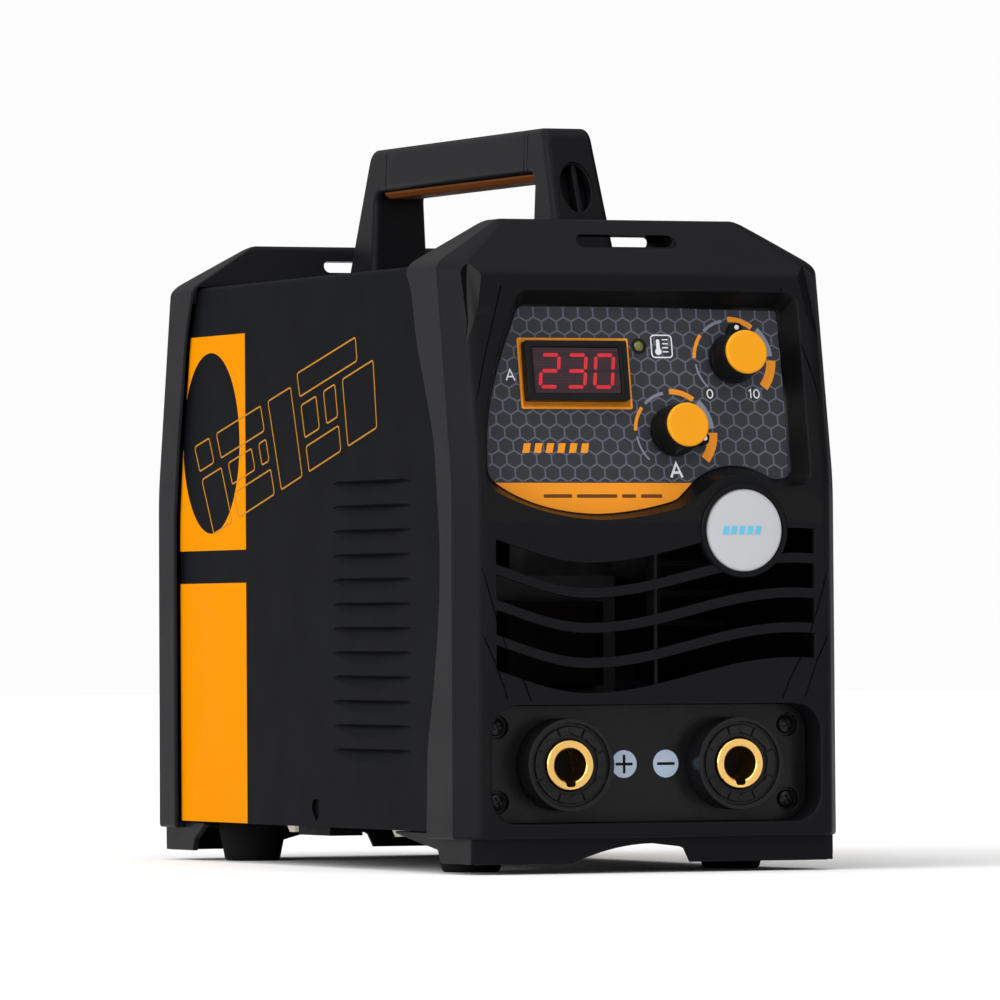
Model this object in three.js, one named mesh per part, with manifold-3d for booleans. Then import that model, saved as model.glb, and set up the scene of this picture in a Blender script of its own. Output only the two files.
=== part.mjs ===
// Stick welding inverter: two moulded end caps, a folded steel cover and the power electronics inside.
// Millimetres. X runs across the front, Y runs from the front to the rear, Z is up.
// While it is being modelled, y = 0 is the plane of the lower front face and z = 0 is the floor.
import * as THREE from 'three';
import { mergeVertices } from 'three/addons/utils/BufferGeometryUtils.js';
import Module from 'manifold-3d';

const wasm = await Module();
wasm.setup();

// ---------- overall sizes ----------
const bodyDepth = 341;
const capHalfWidth = 81.2;
const shoulderHalfWidth = capHalfWidth - 0.6;
const topHalfWidth = capHalfWidth - 30.5;
const capBottom = 13.5;
const capTop = 254.4;
const touchGap = 0.3;

// ---------- end caps ----------
const leanStart = 152;
const leanAngle = THREE.MathUtils.degToRad(10);
const browStart = 232;
const shoulderHeight = 236.5;
const topEdgeSetback = 36.6;
const cornerDepth = 12;
const cornerInset = 7.2;
const capWall = 2.4;
const humpWall = 3;
const humpBackTop = 51;
const frontFlange = { top: 58.2, waist: 25.1, foot: 39.6 };
const rearFlange = { top: 49, waist: 27.2, foot: 27.6 };
const flangeWaistHeight = 118;
const skirtInset = 4.6;
const skirtBottom = 3.9;
const skirtWall = 2.4;
const skirtReach = 82;
const archHalfWidth = 34;
const archRise = 7.4;
const strapSlot = { halfWidth: 20.5, height: 4.8, z: 245.9, wall: 2.6 };

// ---------- cover and tray ----------
const coverClearance = 0.4;
const coverHalfWidth = shoulderHalfWidth - capWall - coverClearance;
const coverTop = shoulderHeight;
const humpFloor = coverTop + coverClearance;
const coverBottom = 16.2;
const coverBend = 3;
const sheet = 1.2;
const coverSetback = 20;
const louvre = { count: 12, front: 60.6, length: 82, height: 2.6, top: 152.8, pitch: 9.63 };
const keyHole = { y: 163.1, z: 23.6, radius: 5.4, length: 3.8 };
const trayTop = 17.8;
const traySide = 28;
const traySetback = 20;
const lug = { y: 152, length: 34, width: 14, depth: 3.6 };

// ---------- feet and base screws ----------
const foot = {
  x: capHalfWidth - 25.7, front: 55.6, rear: bodyDepth - 49.9, bottomRadius: 11.5, topRadius: 14.2, chamfer: 1,
};
const baseScrew = {
  x: coverHalfWidth - 7.8, front: 92, rear: bodyDepth - 136, headRadius: 3.6, headHeight: 2.6, shankRadius: 1.9,
  length: 8,
};

// ---------- control panel, in its own leaning frame: x across, s up the slope, depth inwards ----------
const plateLeft = 14.3 - capHalfWidth;
const plate = {
  left: plateLeft, topLeft: plateLeft + 17.7, right: capHalfWidth - 19.2, top: 70.8, bottom: 1.8, stripBottom: -12.1,
  depth: 9, thickness: 1.5,
};
const badge = { x: plate.right - 25, z: 132.5, radius: 16.15, thickness: 1.4, proud: 1.2, rim: 2.2, bite: 26.5 };
const pocketDraft = 4;
const pocketWall = 2.2;
const bezel = { x: plate.left + 39.4, s: 44.3, width: 43, height: 23.5, proud: 4.5 };
const windowSize = { width: 36.5, height: 18.4, sunk: 1.1 };
const lamp = { x: bezel.x + 28.4, s: 54.8, radius: 2.1, length: 6, proud: 1 };
const currentDial = { x: bezel.x + 40.1, s: 20.8 };
const arcDial = { x: plate.right - 22.1, s: 49.7 };
const knobRadius = 9;
const knob = {
  radius: knobRadius, skirtRadius: knobRadius + 0.9, skirtHeight: 3.4, noseReach: knobRadius + 5.2, noseHalfWidth: 2.5,
  height: 13,
};
const knobCap = { radius: knobRadius - 0.4, thickness: 2.1 };
const potBody = { radius: 8, depth: 8.6 };
const bush = { radius: 4.5, proud: 0.2 };
const shaftRadius = 3;
const board = { thickness: 1.6, halfWidth: capHalfWidth - 23.2, low: 8, high: 66 };

// ---------- grille ----------
const grille = {
  halfWidth: capHalfWidth - 14, slots: 4, top: 126.7, swing: 6.7, lowX: -28.3, risingHalfWave: 86.3, leftHalfWave: 62.8,
  slotHeight: 9.6, pitch: 13.55, divider: 1.6,
};

// ---------- terminals ----------
const recess = { halfWidth: capHalfWidth - 11.8, bottom: 19.4, top: 65.1, radius: 11, depth: 14 };
const linerWall = 2.2;
const terminalPlate = { thickness: 3, rim: 9 };
const plateScrew = {
  x: recess.halfWidth - 8, up: 14.6, headRadius: 3.6, headHeight: 1.8, shankRadius: 1.7, length: 5.6,
};
const contactRadius = 9.9;
const contact = {
  radius: contactRadius, bore: contactRadius - 3.3, keyWidth: 4.4, keyDepth: 2.2, boreDepth: 33,
  flange: contactRadius + 4.1, stud: 4, length: 54,
};
const socket = {
  x: plateScrew.x - 25.5, z: 42, radius: contactRadius + 8.1, neckRadius: contactRadius + 2.7, face: 1, neckEnd: 20.5,
};
const busbar = { width: 16, thickness: 3, low: 33, high: 66, reach: 74 };

// ---------- rear ----------
const rearWindow = { halfWidth: capHalfWidth - 17.2, bottom: 26, top: 216, radius: 8, depth: 17 };
const rearPanelSheet = 1.5;
const roomBesideFan = 18;
const fanSize = 2 * (rearWindow.halfWidth - roomBesideFan);
const fan = {
  z: 102, size: fanSize, depth: 25, throat: fanSize / 2 - 3, hub: 17, bladeCount: 7, bladeThickness: 2, tip: 1.6,
  axle: 2,
};
const guardOuter = fan.throat - 2;
const guard = {
  outer: guardOuter, ringPitch: (guardOuter - 0.5) / 3, count: 3, ringWidth: 1.8, thickness: 2.4, spokeWidth: 3,
};
const mainsSwitch = {
  x: 30 - rearWindow.halfWidth, z: 186, width: 28, height: 22, bezelRim: 3, bezelThickness: 2, depth: 24,
};
const rocker = { halfThickness: 9, clearance: 0.6, tilt: THREE.MathUtils.degToRad(11), proud: 4 };
const gland = {
  x: rearWindow.halfWidth - 28, z: 186, bore: 5.5, thread: 9, nutRadius: 13, nutDepth: 5, capRadius: 11.5, proud: 15,
};

// ---------- handle ----------
const handle = {
  halfWidth: 13, front: 64, length: bodyDepth - 114, pillar: 30, lean: 22.5, top: 293, topRound: 6, gripUnderside: 275,
  bevel: 2.4,
};
const gripInsert = { halfWidth: 8.6, drop: 2.4, endGap: 3 };
const handleScrew = { headRadius: 4.5, headHeight: 3, shankRadius: 2.1, length: 18, inset: 16 };

// ---------- electronics ----------
const powerBoard = {
  halfWidth: coverHalfWidth - 9.8, front: 76, rear: bodyDepth - 55, z: 60, thickness: 1.6,
};
const transformer = { y: 130, width: 64, height: 54, depth: 30, leg: 9.7, yoke: 10, outerLeg: 8, coilReach: 13.4 };
const capacitor = { radius: 11, height: 46, y: powerBoard.rear - 40, spacing: 24, count: 3 };
const heatsinkFront = 88;
const heatsinkInner = transformer.width / 2 + 2;
const heatsink = {
  front: heatsinkFront, length: capacitor.y - capacitor.radius - 7 - heatsinkFront, bottom: 96, height: 84, base: 6,
  inner: heatsinkInner, fins: 8, fin: 2, reach: powerBoard.halfWidth - heatsinkInner,
};
const chokeOuter = 17;
const choke = {
  y: 92, x: -(transformer.leg + transformer.coilReach + chokeOuter + 3.9), outer: chokeOuter, inner: 8, height: 18,
};
const rectifier = {
  x: powerBoard.halfWidth - 19, y: powerBoard.rear - 126, width: 32, length: 54, height: 18, step: 6,
};

const roundSides = 20;
const smallSides = 12;

// ---------- colours ----------
const finish = (color, roughness, metalness = 0) => new THREE.MeshStandardMaterial({ color, roughness, metalness });
const capPlastic = () => finish(0x242427, 0.6);
const blackSheet = () => finish(0x212226, 0.45, 0.3);
const orangePlastic = () => finish(0xf0a028, 0.5);
const zinc = () => finish(0xb8b4a8, 0.35, 0.9);
const brass = () => finish(0xe4b969, 0.3, 1);
const rubber = () => finish(0x161618, 0.85);
const graphicFilm = () => finish(0x33353b, 0.5);
const badgeWhite = () => finish(0xc6c6c8, 0.4);
const displayRed = () => finish(0x501018, 0.2);
const lampOlive = () => finish(0x6a6a20, 0.3);
const greenBoard = () => finish(0x1f5a35, 0.55);
const rawAluminium = () => finish(0xb4b7ba, 0.4, 0.9);
const ferrite = () => finish(0x3a3a3c, 0.7);
const copperWire = () => finish(0xb86a34, 0.35, 0.8);
const capacitorSleeve = () => finish(0x20242e, 0.4);
const copperBar = () => finish(0xc07850, 0.35, 1);
const blackSteel = () => finish(0x1a1a1c, 0.5, 0.5);
const fanPlastic = () => finish(0x18181a, 0.5);

// ---------- solids ----------
function signedVolume(geometry) {
  const at = geometry.getAttribute('position');
  const index = geometry.getIndex();
  const [a, b, c] = [new THREE.Vector3(), new THREE.Vector3(), new THREE.Vector3()];
  let sum = 0;
  for (let i = 0; i < index.count; i += 3) {
    a.fromBufferAttribute(at, index.getX(i));
    b.fromBufferAttribute(at, index.getX(i + 1));
    c.fromBufferAttribute(at, index.getX(i + 2));
    sum += a.dot(b.cross(c));
  }
  return sum / 6;
}

// A closed mesh with shared corners and its faces outwards.
function closed(source) {
  const geometry = source.clone();
  geometry.deleteAttribute('normal');
  geometry.deleteAttribute('uv');
  const merged = mergeVertices(geometry, 1e-4);
  if (signedVolume(merged) < 0) merged.index.array.reverse();
  return merged;
}

function toManifold(geometry) {
  const merged = closed(geometry);
  return new wasm.Manifold(new wasm.Mesh({
    numProp: 3,
    vertProperties: Float32Array.from(merged.getAttribute('position').array),
    triVerts: Uint32Array.from(merged.index.array),
  }));
}

function fromManifold(solid) {
  const mesh = solid.getMesh();
  const geometry = new THREE.BufferGeometry();
  geometry.setAttribute('position', new THREE.BufferAttribute(mesh.vertProperties, 3));
  geometry.setIndex(new THREE.BufferAttribute(mesh.triVerts, 1));
  return geometry;
}

const join = (...pieces) => fromManifold(pieces.map(toManifold).reduce((sum, piece) => sum.add(piece)));
const cut = (body, ...tools) => fromManifold(tools.map(toManifold).reduce((left, tool) => left.subtract(tool),
  toManifold(body)));
const common = (one, other) => fromManifold(toManifold(one).intersect(toManifold(other)));

const box = (x0, x1, y0, y1, z0, z1) => new THREE.BoxGeometry(x1 - x0, y1 - y0, z1 - z0)
  .translate((x0 + x1) / 2, (y0 + y1) / 2, (z0 + z1) / 2);

const plain = { bevelEnabled: false, curveSegments: 4 };

// Pushes an outline drawn in X and Z along Y, one in Y and Z along X, or one in X and Y along Z.
const alongY = (shape, y0, y1, curveSegments = 4) => new THREE.ExtrudeGeometry(shape,
  { ...plain, curveSegments, depth: y1 - y0 }).rotateX(Math.PI / 2).translate(0, y1, 0);
const sideways = new THREE.Matrix4().makeBasis(new THREE.Vector3(0, 1, 0), new THREE.Vector3(0, 0, 1),
  new THREE.Vector3(1, 0, 0));
const alongX = (shape, x0, x1) => new THREE.ExtrudeGeometry(shape, { ...plain, depth: x1 - x0 })
  .applyMatrix4(sideways).translate(x0, 0, 0);
const alongZ = (shape, z0, z1) => new THREE.ExtrudeGeometry(shape, { ...plain, depth: z1 - z0 })
  .translate(0, 0, z0);

const outline = (points) => new THREE.Shape(points.map(([u, v]) => new THREE.Vector2(u, v)));

// Turned about the Y axis: each profile point is [radius, y].
const turned = (profile, sides = roundSides) => new THREE.LatheGeometry(
  profile.map(([radius, y]) => new THREE.Vector2(radius, y)), sides);
const upright = (geometry) => geometry.rotateX(Math.PI / 2);
const disc = (radius, y0, y1, sides = roundSides) => turned([[0, y0], [radius, y0], [radius, y1], [0, y1]], sides);
const tube = (outer, inner, y0, y1, sides = roundSides) => turned(
  [[inner, y0], [outer, y0], [outer, y1], [inner, y1], [inner, y0]], sides);

function roundedRect(x0, x1, z0, z1, radius) {
  const shape = new THREE.Shape();
  shape.moveTo(x0 + radius, z0);
  shape.lineTo(x1 - radius, z0);
  shape.absarc(x1 - radius, z0 + radius, radius, -Math.PI / 2, 0);
  shape.lineTo(x1, z1 - radius);
  shape.absarc(x1 - radius, z1 - radius, radius, 0, Math.PI / 2);
  shape.lineTo(x0 + radius, z1);
  shape.absarc(x0 + radius, z1 - radius, radius, Math.PI / 2, Math.PI);
  shape.lineTo(x0, z0 + radius);
  shape.absarc(x0 + radius, z0 + radius, radius, Math.PI, 1.5 * Math.PI);
  return shape;
}

// A closed skin through outlines that have the same number of points; place gives a point's position.
function loft(outlines, place) {
  const count = outlines[0].length;
  const corners = outlines.flatMap((points, level) => points.map((point) => place(point, level)));
  const faces = [];
  for (let level = 0; level + 1 < outlines.length; level += 1) {
    for (let i = 0; i < count; i += 1) {
      const here = level * count + i;
      const next = level * count + ((i + 1) % count);
      faces.push(here, next, next + count, here, next + count, here + count);
    }
  }
  const last = (outlines.length - 1) * count;
  const cap = (points) => THREE.ShapeUtils.triangulateShape(points, []);
  cap(outlines[0]).forEach(([a, b, c]) => faces.push(c, b, a));
  cap(outlines[outlines.length - 1]).forEach(([a, b, c]) => faces.push(last + a, last + b, last + c));
  const geometry = new THREE.BufferGeometry().setFromPoints(corners);
  geometry.setIndex(faces);
  return geometry;
}

// ---------- placing ----------
const model = new THREE.Group();
function add(name, geometry, material, parent = model) {
  const mesh = new THREE.Mesh(closed(geometry), material);
  mesh.name = name;
  parent.add(mesh);
  return mesh;
}

const panel = new THREE.Group();
panel.position.z = leanStart;
panel.rotation.x = -leanAngle;
model.add(panel);
panel.updateMatrixWorld();
const onPanel = (geometry) => geometry.clone().applyMatrix4(panel.matrixWorld);

// The same form at the other end of the body.
const mirrored = (geometry) => closed(geometry.clone().scale(1, -1, 1).translate(0, bodyDepth, 0));

// ---------- cap form ----------
const leanAt = (z) => Math.max(0, z - leanStart) * Math.tan(leanAngle);
const faceAt = (z) => (z <= browStart ? leanAt(z)
  : THREE.MathUtils.mapLinear(z, browStart, capTop, leanAt(browStart), topEdgeSetback));

function halfWidthAt(z) {
  if (z <= shoulderHeight) {
    return THREE.MathUtils.mapLinear(z, capBottom, shoulderHeight, capHalfWidth, shoulderHalfWidth);
  }
  return THREE.MathUtils.mapLinear(z, shoulderHeight, capTop, shoulderHalfWidth, topHalfWidth);
}

function edgeAt(z) {
  if (z <= shoulderHeight) return cornerDepth + leanAt(z);
  return THREE.MathUtils.mapLinear(z, shoulderHeight, capTop, cornerDepth + leanAt(shoulderHeight), topEdgeSetback);
}

// Horizontal section of a cap: flat face, a slanted corner each side, straight flanks back to y = back.
function capSection(z, inset, back) {
  const half = halfWidthAt(z) - inset;
  const corner = z <= shoulderHeight ? cornerInset
    : THREE.MathUtils.mapLinear(z, shoulderHeight, capTop, cornerInset, cornerInset / 2);
  const face = faceAt(z) + inset;
  const edge = edgeAt(z) + inset;
  return [[-half, back], [-half, edge], [corner - half, face], [half - corner, face], [half, edge], [half, back]]
    .map(([x, y]) => new THREE.Vector2(x, y));
}

const flangeLimit = 95;
function capOuter() {
  const heights = [capBottom, leanStart, browStart, shoulderHeight, capTop];
  return loft(heights.map((z) => capSection(z, 0, flangeLimit)),
    (point, level) => new THREE.Vector3(point.x, point.y, heights[level]));
}

// The room inside a cap, closed behind the brow so that the hump is a box of its own.
function capInner(flange) {
  const open = flangeLimit + 1;
  const humpBack = flange.top - humpWall;
  const humpDrop = capTop - humpWall;
  const levels = [
    [capBottom + capWall, capWall, open], [leanStart, capWall, open], [browStart, capWall, open],
    [shoulderHeight, capWall, open], [humpFloor - 0.01, capWall, open], [humpFloor, capWall + humpWall, humpBack],
    [humpDrop, humpWall, flange.top - (frontFlange.top - humpBackTop) - humpWall],
  ];
  return loft(levels.map(([z, inset, back]) => capSection(z, inset, back)),
    (point, level) => new THREE.Vector3(point.x, point.y, levels[level][0]));
}

// Everything behind the flange's rear edge, which narrows to a waist and widens to the shoulder.
function behindFlange({ top, waist, foot: low }) {
  const far = flangeLimit + 5;
  const swell = (top - waist) * 0.7;
  const shape = new THREE.Shape();
  shape.moveTo(far, 0);
  shape.lineTo(low, 0);
  shape.lineTo(low - (low - waist) * 0.1, 50);
  shape.bezierCurveTo(waist + (low - waist) * 0.6, 70, waist, 95, waist, flangeWaistHeight);
  shape.bezierCurveTo(waist, 150, waist + swell * 0.35, 172, waist + swell, 207);
  shape.lineTo(top - 5, browStart - 5);
  shape.lineTo(top, browStart + 1);
  shape.lineTo(top, shoulderHeight + 1);
  shape.lineTo(top - (frontFlange.top - humpBackTop), capTop);
  shape.lineTo(top - (frontFlange.top - humpBackTop), capTop + 10);
  shape.lineTo(far, capTop + 10);
  return alongX(shape, -capHalfWidth - 5, capHalfWidth + 5);
}

// Low skirt under the cap with an arch in its front and a gusset that runs back along each side.
function skirt(reach) {
  const half = capHalfWidth - skirtInset;
  const top = capBottom + capWall;
  const front = box(-half, half, skirtInset, skirtInset + skirtWall, skirtBottom, top);
  const arch = new THREE.Shape();
  arch.moveTo(-archHalfWidth, skirtBottom - 1);
  arch.lineTo(-archHalfWidth, skirtBottom);
  arch.quadraticCurveTo(-archHalfWidth / 2, skirtBottom + archRise, 0, skirtBottom + archRise);
  arch.lineTo(archHalfWidth / 2 - 4, skirtBottom + archRise * 0.8);
  arch.lineTo(archHalfWidth / 2, skirtBottom - 1);
  const side = outline([[skirtInset, skirtBottom], [36, skirtBottom], [38, 9], [reach, top - 1], [reach, top],
    [skirtInset, top]]);
  return join(cut(front, alongY(arch, 0, 2 * skirtInset + skirtWall)), alongX(side, half - skirtWall, half),
    alongX(side, -half, skirtWall - half));
}

function strapTunnel(grow) {
  const { halfWidth, height, z } = strapSlot;
  const half = halfWidth + grow;
  const rise = height / 2 + grow;
  return roundedRect(-half, half, z - rise, z + rise, rise - 0.01);
}

function capShell(flange, reach) {
  const tunnelWall = common(alongY(strapTunnel(strapSlot.wall), 0, flangeLimit), capOuter());
  return cut(join(cut(capOuter(), capInner(flange)), tunnelWall, skirt(reach)), behindFlange(flange),
    alongY(strapTunnel(0), 0, flangeLimit));
}

// ---------- control panel outline ----------
// grow pushes every side outwards; the round bite above the badge shrinks by as much.
function panelOutline(grow) {
  const left = plate.left - grow;
  const right = plate.right + grow;
  const top = plate.top + grow;
  const bottom = plate.bottom - grow;
  const low = plate.stripBottom - grow;
  const bite = badge.bite - grow;
  const centre = badge.z - leanStart;
  const reach = Math.sqrt(bite ** 2 - (bottom - centre) ** 2);
  const start = Math.atan2(bottom - centre, reach);
  const radius = 4.5 + grow / 2;
  const shape = new THREE.Shape();
  shape.moveTo(right - radius, bottom);
  shape.absarc(right - radius, bottom + radius, radius, -Math.PI / 2, 0);
  shape.lineTo(right, top - radius);
  shape.absarc(right - radius, top - radius, radius, 0, Math.PI / 2);
  shape.lineTo(plate.topLeft - grow * 0.4, top);
  shape.bezierCurveTo(left + 8, top - 22, left, bottom + 30, left, bottom + 3);
  shape.lineTo(left + 2.3, bottom - 1.5);
  shape.quadraticCurveTo(plate.left + 18.9, low + 0.6, badge.x - 59, low);
  shape.quadraticCurveTo(badge.x - 42, low + 0.4, badge.x - 25, low + 5.5);
  shape.lineTo(badge.x - bite * 0.72, centre + bite * 0.69);
  shape.absarc(badge.x, centre, bite, Math.atan2(0.69, -0.72), start, true);
  return shape;
}

const outlinePoints = (grow) => panelOutline(grow).getPoints(3);
const plateFace = plate.depth;
const pocketFloor = plate.depth + plate.thickness + touchGap;
const pocketBack = pocketFloor + pocketWall;

// A pocket whose walls draw in from the outer face to the plate.
function panelPocket(extra, fromDepth, toDepth) {
  const slope = pocketDraft / plateFace;
  const depths = [fromDepth, plateFace, toDepth];
  const grows = [(plateFace - fromDepth) * slope, 0, 0].map((grow) => grow + extra);
  return onPanel(loft(grows.map(outlinePoints), (point, level) => new THREE.Vector3(point.x, depths[level], point.y)));
}

const roundHole = (x, s, radius, from, to) => disc(radius, from, to, smallSides).translate(x, 0, s);
const bezelBox = (grow, from, to) => box(bezel.x - windowSize.width / 2 - grow, bezel.x + windowSize.width / 2 + grow,
  from, to, bezel.s - windowSize.height / 2 - grow, bezel.s + windowSize.height / 2 + grow);

// Holes for the display, the lamp and both pot bushes, through whatever lies between two depths.
const panelHoles = (from, to) => [
  bezelBox(touchGap, from, to),
  roundHole(lamp.x, lamp.s, lamp.radius + touchGap, from, to),
  roundHole(currentDial.x, currentDial.s, bush.radius + touchGap, from, to),
  roundHole(arcDial.x, arcDial.s, bush.radius + touchGap, from, to),
];

// ---------- grille ----------
// The top edge of the first slot dips on the left and crests on the right.
function waveAt(x) {
  const half = x < grille.lowX ? grille.leftHalfWave : grille.risingHalfWave;
  return grille.top - grille.swing * Math.cos((Math.PI * (x - grille.lowX)) / half);
}

function grilleSlot(row, x0, x1) {
  const steps = 5;
  const xs = Array.from({ length: steps + 1 }, (_, i) => THREE.MathUtils.lerp(x0, x1, i / steps));
  const drop = row * grille.pitch;
  const upper = xs.map((x) => [x, waveAt(x) - drop]);
  const lower = xs.map((x) => [x, waveAt(x) - drop - grille.slotHeight]).reverse();
  return alongY(outline([...upper, ...lower]), -5, capWall + 5);
}

function grilleSlots() {
  const rows = Array.from({ length: grille.slots }, (_, row) => row);
  const slots = rows.flatMap((row) => [
    grilleSlot(row, -grille.halfWidth, -grille.divider / 2),
    grilleSlot(row, grille.divider / 2, grille.halfWidth),
  ]);
  return cut(join(...slots), badgeDisc(badge.radius + badge.rim, -10, 10));
}

const badgeDisc = (radius, from, to) => disc(radius, from, to).translate(badge.x, 0, badge.z);

// ---------- terminal recess ----------
const recessOutline = (grow) => roundedRect(-recess.halfWidth - grow, recess.halfWidth + grow,
  recess.bottom - grow, recess.top + grow, recess.radius + grow);
const plateBack = recess.depth + terminalPlate.thickness;
const recessFloor = plateBack + touchGap;
const recessBack = recessFloor + linerWall;
const socketSides = [['plus', -1], ['minus', 1]];
const screwPlaces = [[-1, 1], [1, 1], [-1, -1], [1, -1]]
  .map(([side, up]) => [side * plateScrew.x, (recess.bottom + recess.top) / 2 + up * plateScrew.up]);

function terminalLiner() {
  const backOpening = roundedRect(-recess.halfWidth + terminalPlate.rim + 5, recess.halfWidth - terminalPlate.rim - 5,
    recess.bottom + 4, recess.top - 4, 4);
  return cut(alongY(recessOutline(linerWall), 0, recessBack), alongY(backOpening, recessFloor - 1, recessBack + 1));
}

function frontCap() {
  const panelLiner = common(panelPocket(pocketWall, -3, pocketBack), capOuter());
  const boss = badgeDisc(badge.radius + badge.rim, -badge.proud, capWall);
  const body = join(capShell(frontFlange, skirtReach), panelLiner, common(terminalLiner(), capOuter()), boss);
  const screwHoles = screwPlaces.map(([x, z]) => disc(plateScrew.shankRadius + touchGap, recessFloor - 1,
    recessBack + 1, smallSides).translate(x, 0, z));
  return cut(body, panelPocket(0, -6, pocketFloor),
    ...panelHoles(pocketFloor - 1, pocketBack + 1).map(onPanel),
    grilleSlots(), alongY(recessOutline(0), -5, recessFloor), ...screwHoles,
    badgeDisc(badge.radius + touchGap, -badge.proud - 1, badge.thickness - badge.proud / 2));
}

// ---------- rear cap ----------
const windowOutline = (grow) => roundedRect(-rearWindow.halfWidth - grow, rearWindow.halfWidth + grow,
  rearWindow.bottom - grow, rearWindow.top + grow, rearWindow.radius + grow);
const rearPanelFace = bodyDepth - rearWindow.depth;
const rearPanelBack = rearPanelFace - rearPanelSheet;

function rearCap() {
  const liner = common(alongY(windowOutline(linerWall), 0, rearWindow.depth + rearPanelSheet + linerWall), capOuter());
  const lip = windowOutline(-6);
  return mirrored(cut(join(capShell(rearFlange, skirtReach * 0.6), liner),
    alongY(windowOutline(0), -5, rearWindow.depth + rearPanelSheet + touchGap), alongY(lip, 0, flangeLimit)));
}

// ---------- cover ----------
function uSection(half, top, bottom, thickness, bend) {
  const shape = new THREE.Shape();
  shape.moveTo(-half, bottom);
  shape.lineTo(-half, top - bend);
  shape.quadraticCurveTo(-half, top, -half + bend, top);
  shape.lineTo(half - bend, top);
  shape.quadraticCurveTo(half, top, half, top - bend);
  shape.lineTo(half, bottom);
  shape.lineTo(half - thickness, bottom);
  shape.lineTo(half - thickness, top - bend);
  shape.lineTo(half - bend, top - thickness);
  shape.lineTo(bend - half, top - thickness);
  shape.lineTo(thickness - half, top - bend);
  shape.lineTo(thickness - half, bottom);
  return shape;
}

function coverShell() {
  const leanEnd = coverSetback + leanAt(coverTop + 2);
  const sideView = outline([
    [coverSetback, 0], [coverSetback, leanStart], [leanEnd, coverTop + 2],
    [bodyDepth - leanEnd, coverTop + 2], [bodyDepth - coverSetback, leanStart], [bodyDepth - coverSetback, 0],
  ]);
  const wide = coverHalfWidth + 5;
  const u = alongY(uSection(coverHalfWidth, coverTop, coverBottom, sheet, coverBend), 0, bodyDepth);
  const louvres = Array.from({ length: louvre.count }, (_, row) => {
    const top = louvre.top - row * louvre.pitch;
    return box(-wide, wide, louvre.front, louvre.front + louvre.length, top - louvre.height, top);
  });
  const key = outline([[keyHole.y - keyHole.radius, keyHole.z], [keyHole.y, keyHole.z - keyHole.radius],
    [keyHole.y + keyHole.radius, keyHole.z], [keyHole.y, keyHole.z + keyHole.length]]);
  const screws = handleScrewPlaces.map((y) => upright(disc(handleScrew.shankRadius + touchGap, -5, 5, smallSides))
    .translate(0, y, coverTop));
  return cut(common(u, alongX(sideView, -wide, wide)), ...louvres, alongX(key, -wide, wide), ...screws);
}

const handleScrewPlaces = [handle.front + handleScrew.inset, handle.front + handle.length - handleScrew.inset];

function baseTray() {
  const half = coverHalfWidth - sheet - touchGap;
  const low = coverBottom + 0.1;
  const shape = outline([[-half, low], [half, low], [half, low + traySide], [half - sheet, low + traySide],
    [half - sheet, trayTop], [sheet - half, trayTop], [sheet - half, low + traySide], [-half, low + traySide]]);
  const tray = alongY(shape, traySetback, bodyDepth - traySetback);
  const lugs = [-1, 1].map((side) => box(side * (half - lug.width / 2) - lug.width / 2,
    side * (half - lug.width / 2) + lug.width / 2, lug.y, lug.y + lug.length, low - lug.depth, trayTop));
  const corners = [-1, 1].map((side) => [traySetback - 1, bodyDepth - traySetback - 60].map((y) => box(
    side * half - 3, side * half + 3, y, y + 61, trayTop + 3, low + traySide + 1)));
  const holes = basePlaces.map(([, x, y]) => upright(disc(baseScrew.shankRadius + touchGap, -5, 5, smallSides))
    .translate(x, y, trayTop));
  return cut(join(tray, ...lugs), ...corners.flat(), ...holes);
}

const basePlaces = [['front_left', -baseScrew.x, baseScrew.front], ['front_right', baseScrew.x, baseScrew.front],
  ['rear_left', -baseScrew.x, baseScrew.rear], ['rear_right', baseScrew.x, baseScrew.rear]];
const footPlaces = [['front_left', -foot.x, foot.front], ['front_right', foot.x, foot.front],
  ['rear_left', -foot.x, foot.rear], ['rear_right', foot.x, foot.rear]];

function footRubber() {
  const height = coverBottom + 0.1 - touchGap;
  return upright(turned([[0, 0], [foot.bottomRadius - foot.chamfer, 0], [foot.bottomRadius, foot.chamfer],
    [foot.topRadius, height], [0, height]]));
}

// A screw whose head lies at y = 0 to -head and whose shank runs along +Y.
function panScrew({ headRadius, headHeight, shankRadius, length }) {
  const body = turned([[0, -headHeight], [headRadius * 0.7, -headHeight],
    [headRadius, 0], [shankRadius, 0], [shankRadius, length], [0, length]], smallSides);
  const arm = headRadius * 0.55;
  const blade = headRadius * 0.13;
  return cut(body, box(-arm, arm, -headHeight - 1, -headHeight * 0.4, -blade, blade),
    box(-blade, blade, -headHeight - 1, -headHeight * 0.4, -arm, arm));
}

// ---------- knobs and pots ----------
function knobBody() {
  const bottom = plateFace - 0.6;
  const top = bottom - knob.height;
  const { radius, skirtRadius, skirtHeight, noseReach, noseHalfWidth } = knob;
  const body = turned([[0, top], [radius - 0.6, top], [radius, top + 0.6], [radius + 0.7, bottom - skirtHeight],
    [skirtRadius, bottom - skirtHeight], [skirtRadius, bottom], [0, bottom]]);
  const nose = outline([[-noseHalfWidth - 2, 0], [noseHalfWidth + 2, 0], [noseHalfWidth, noseReach - 1.5],
    [noseHalfWidth - 1.2, noseReach], [1.2 - noseHalfWidth, noseReach], [-noseHalfWidth, noseReach - 1.5]]);
  return cut(join(body, alongY(nose, bottom - skirtHeight, bottom)),
    disc(shaftRadius + touchGap, shaftEnd - touchGap, bottom + 1, smallSides));
}

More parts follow.
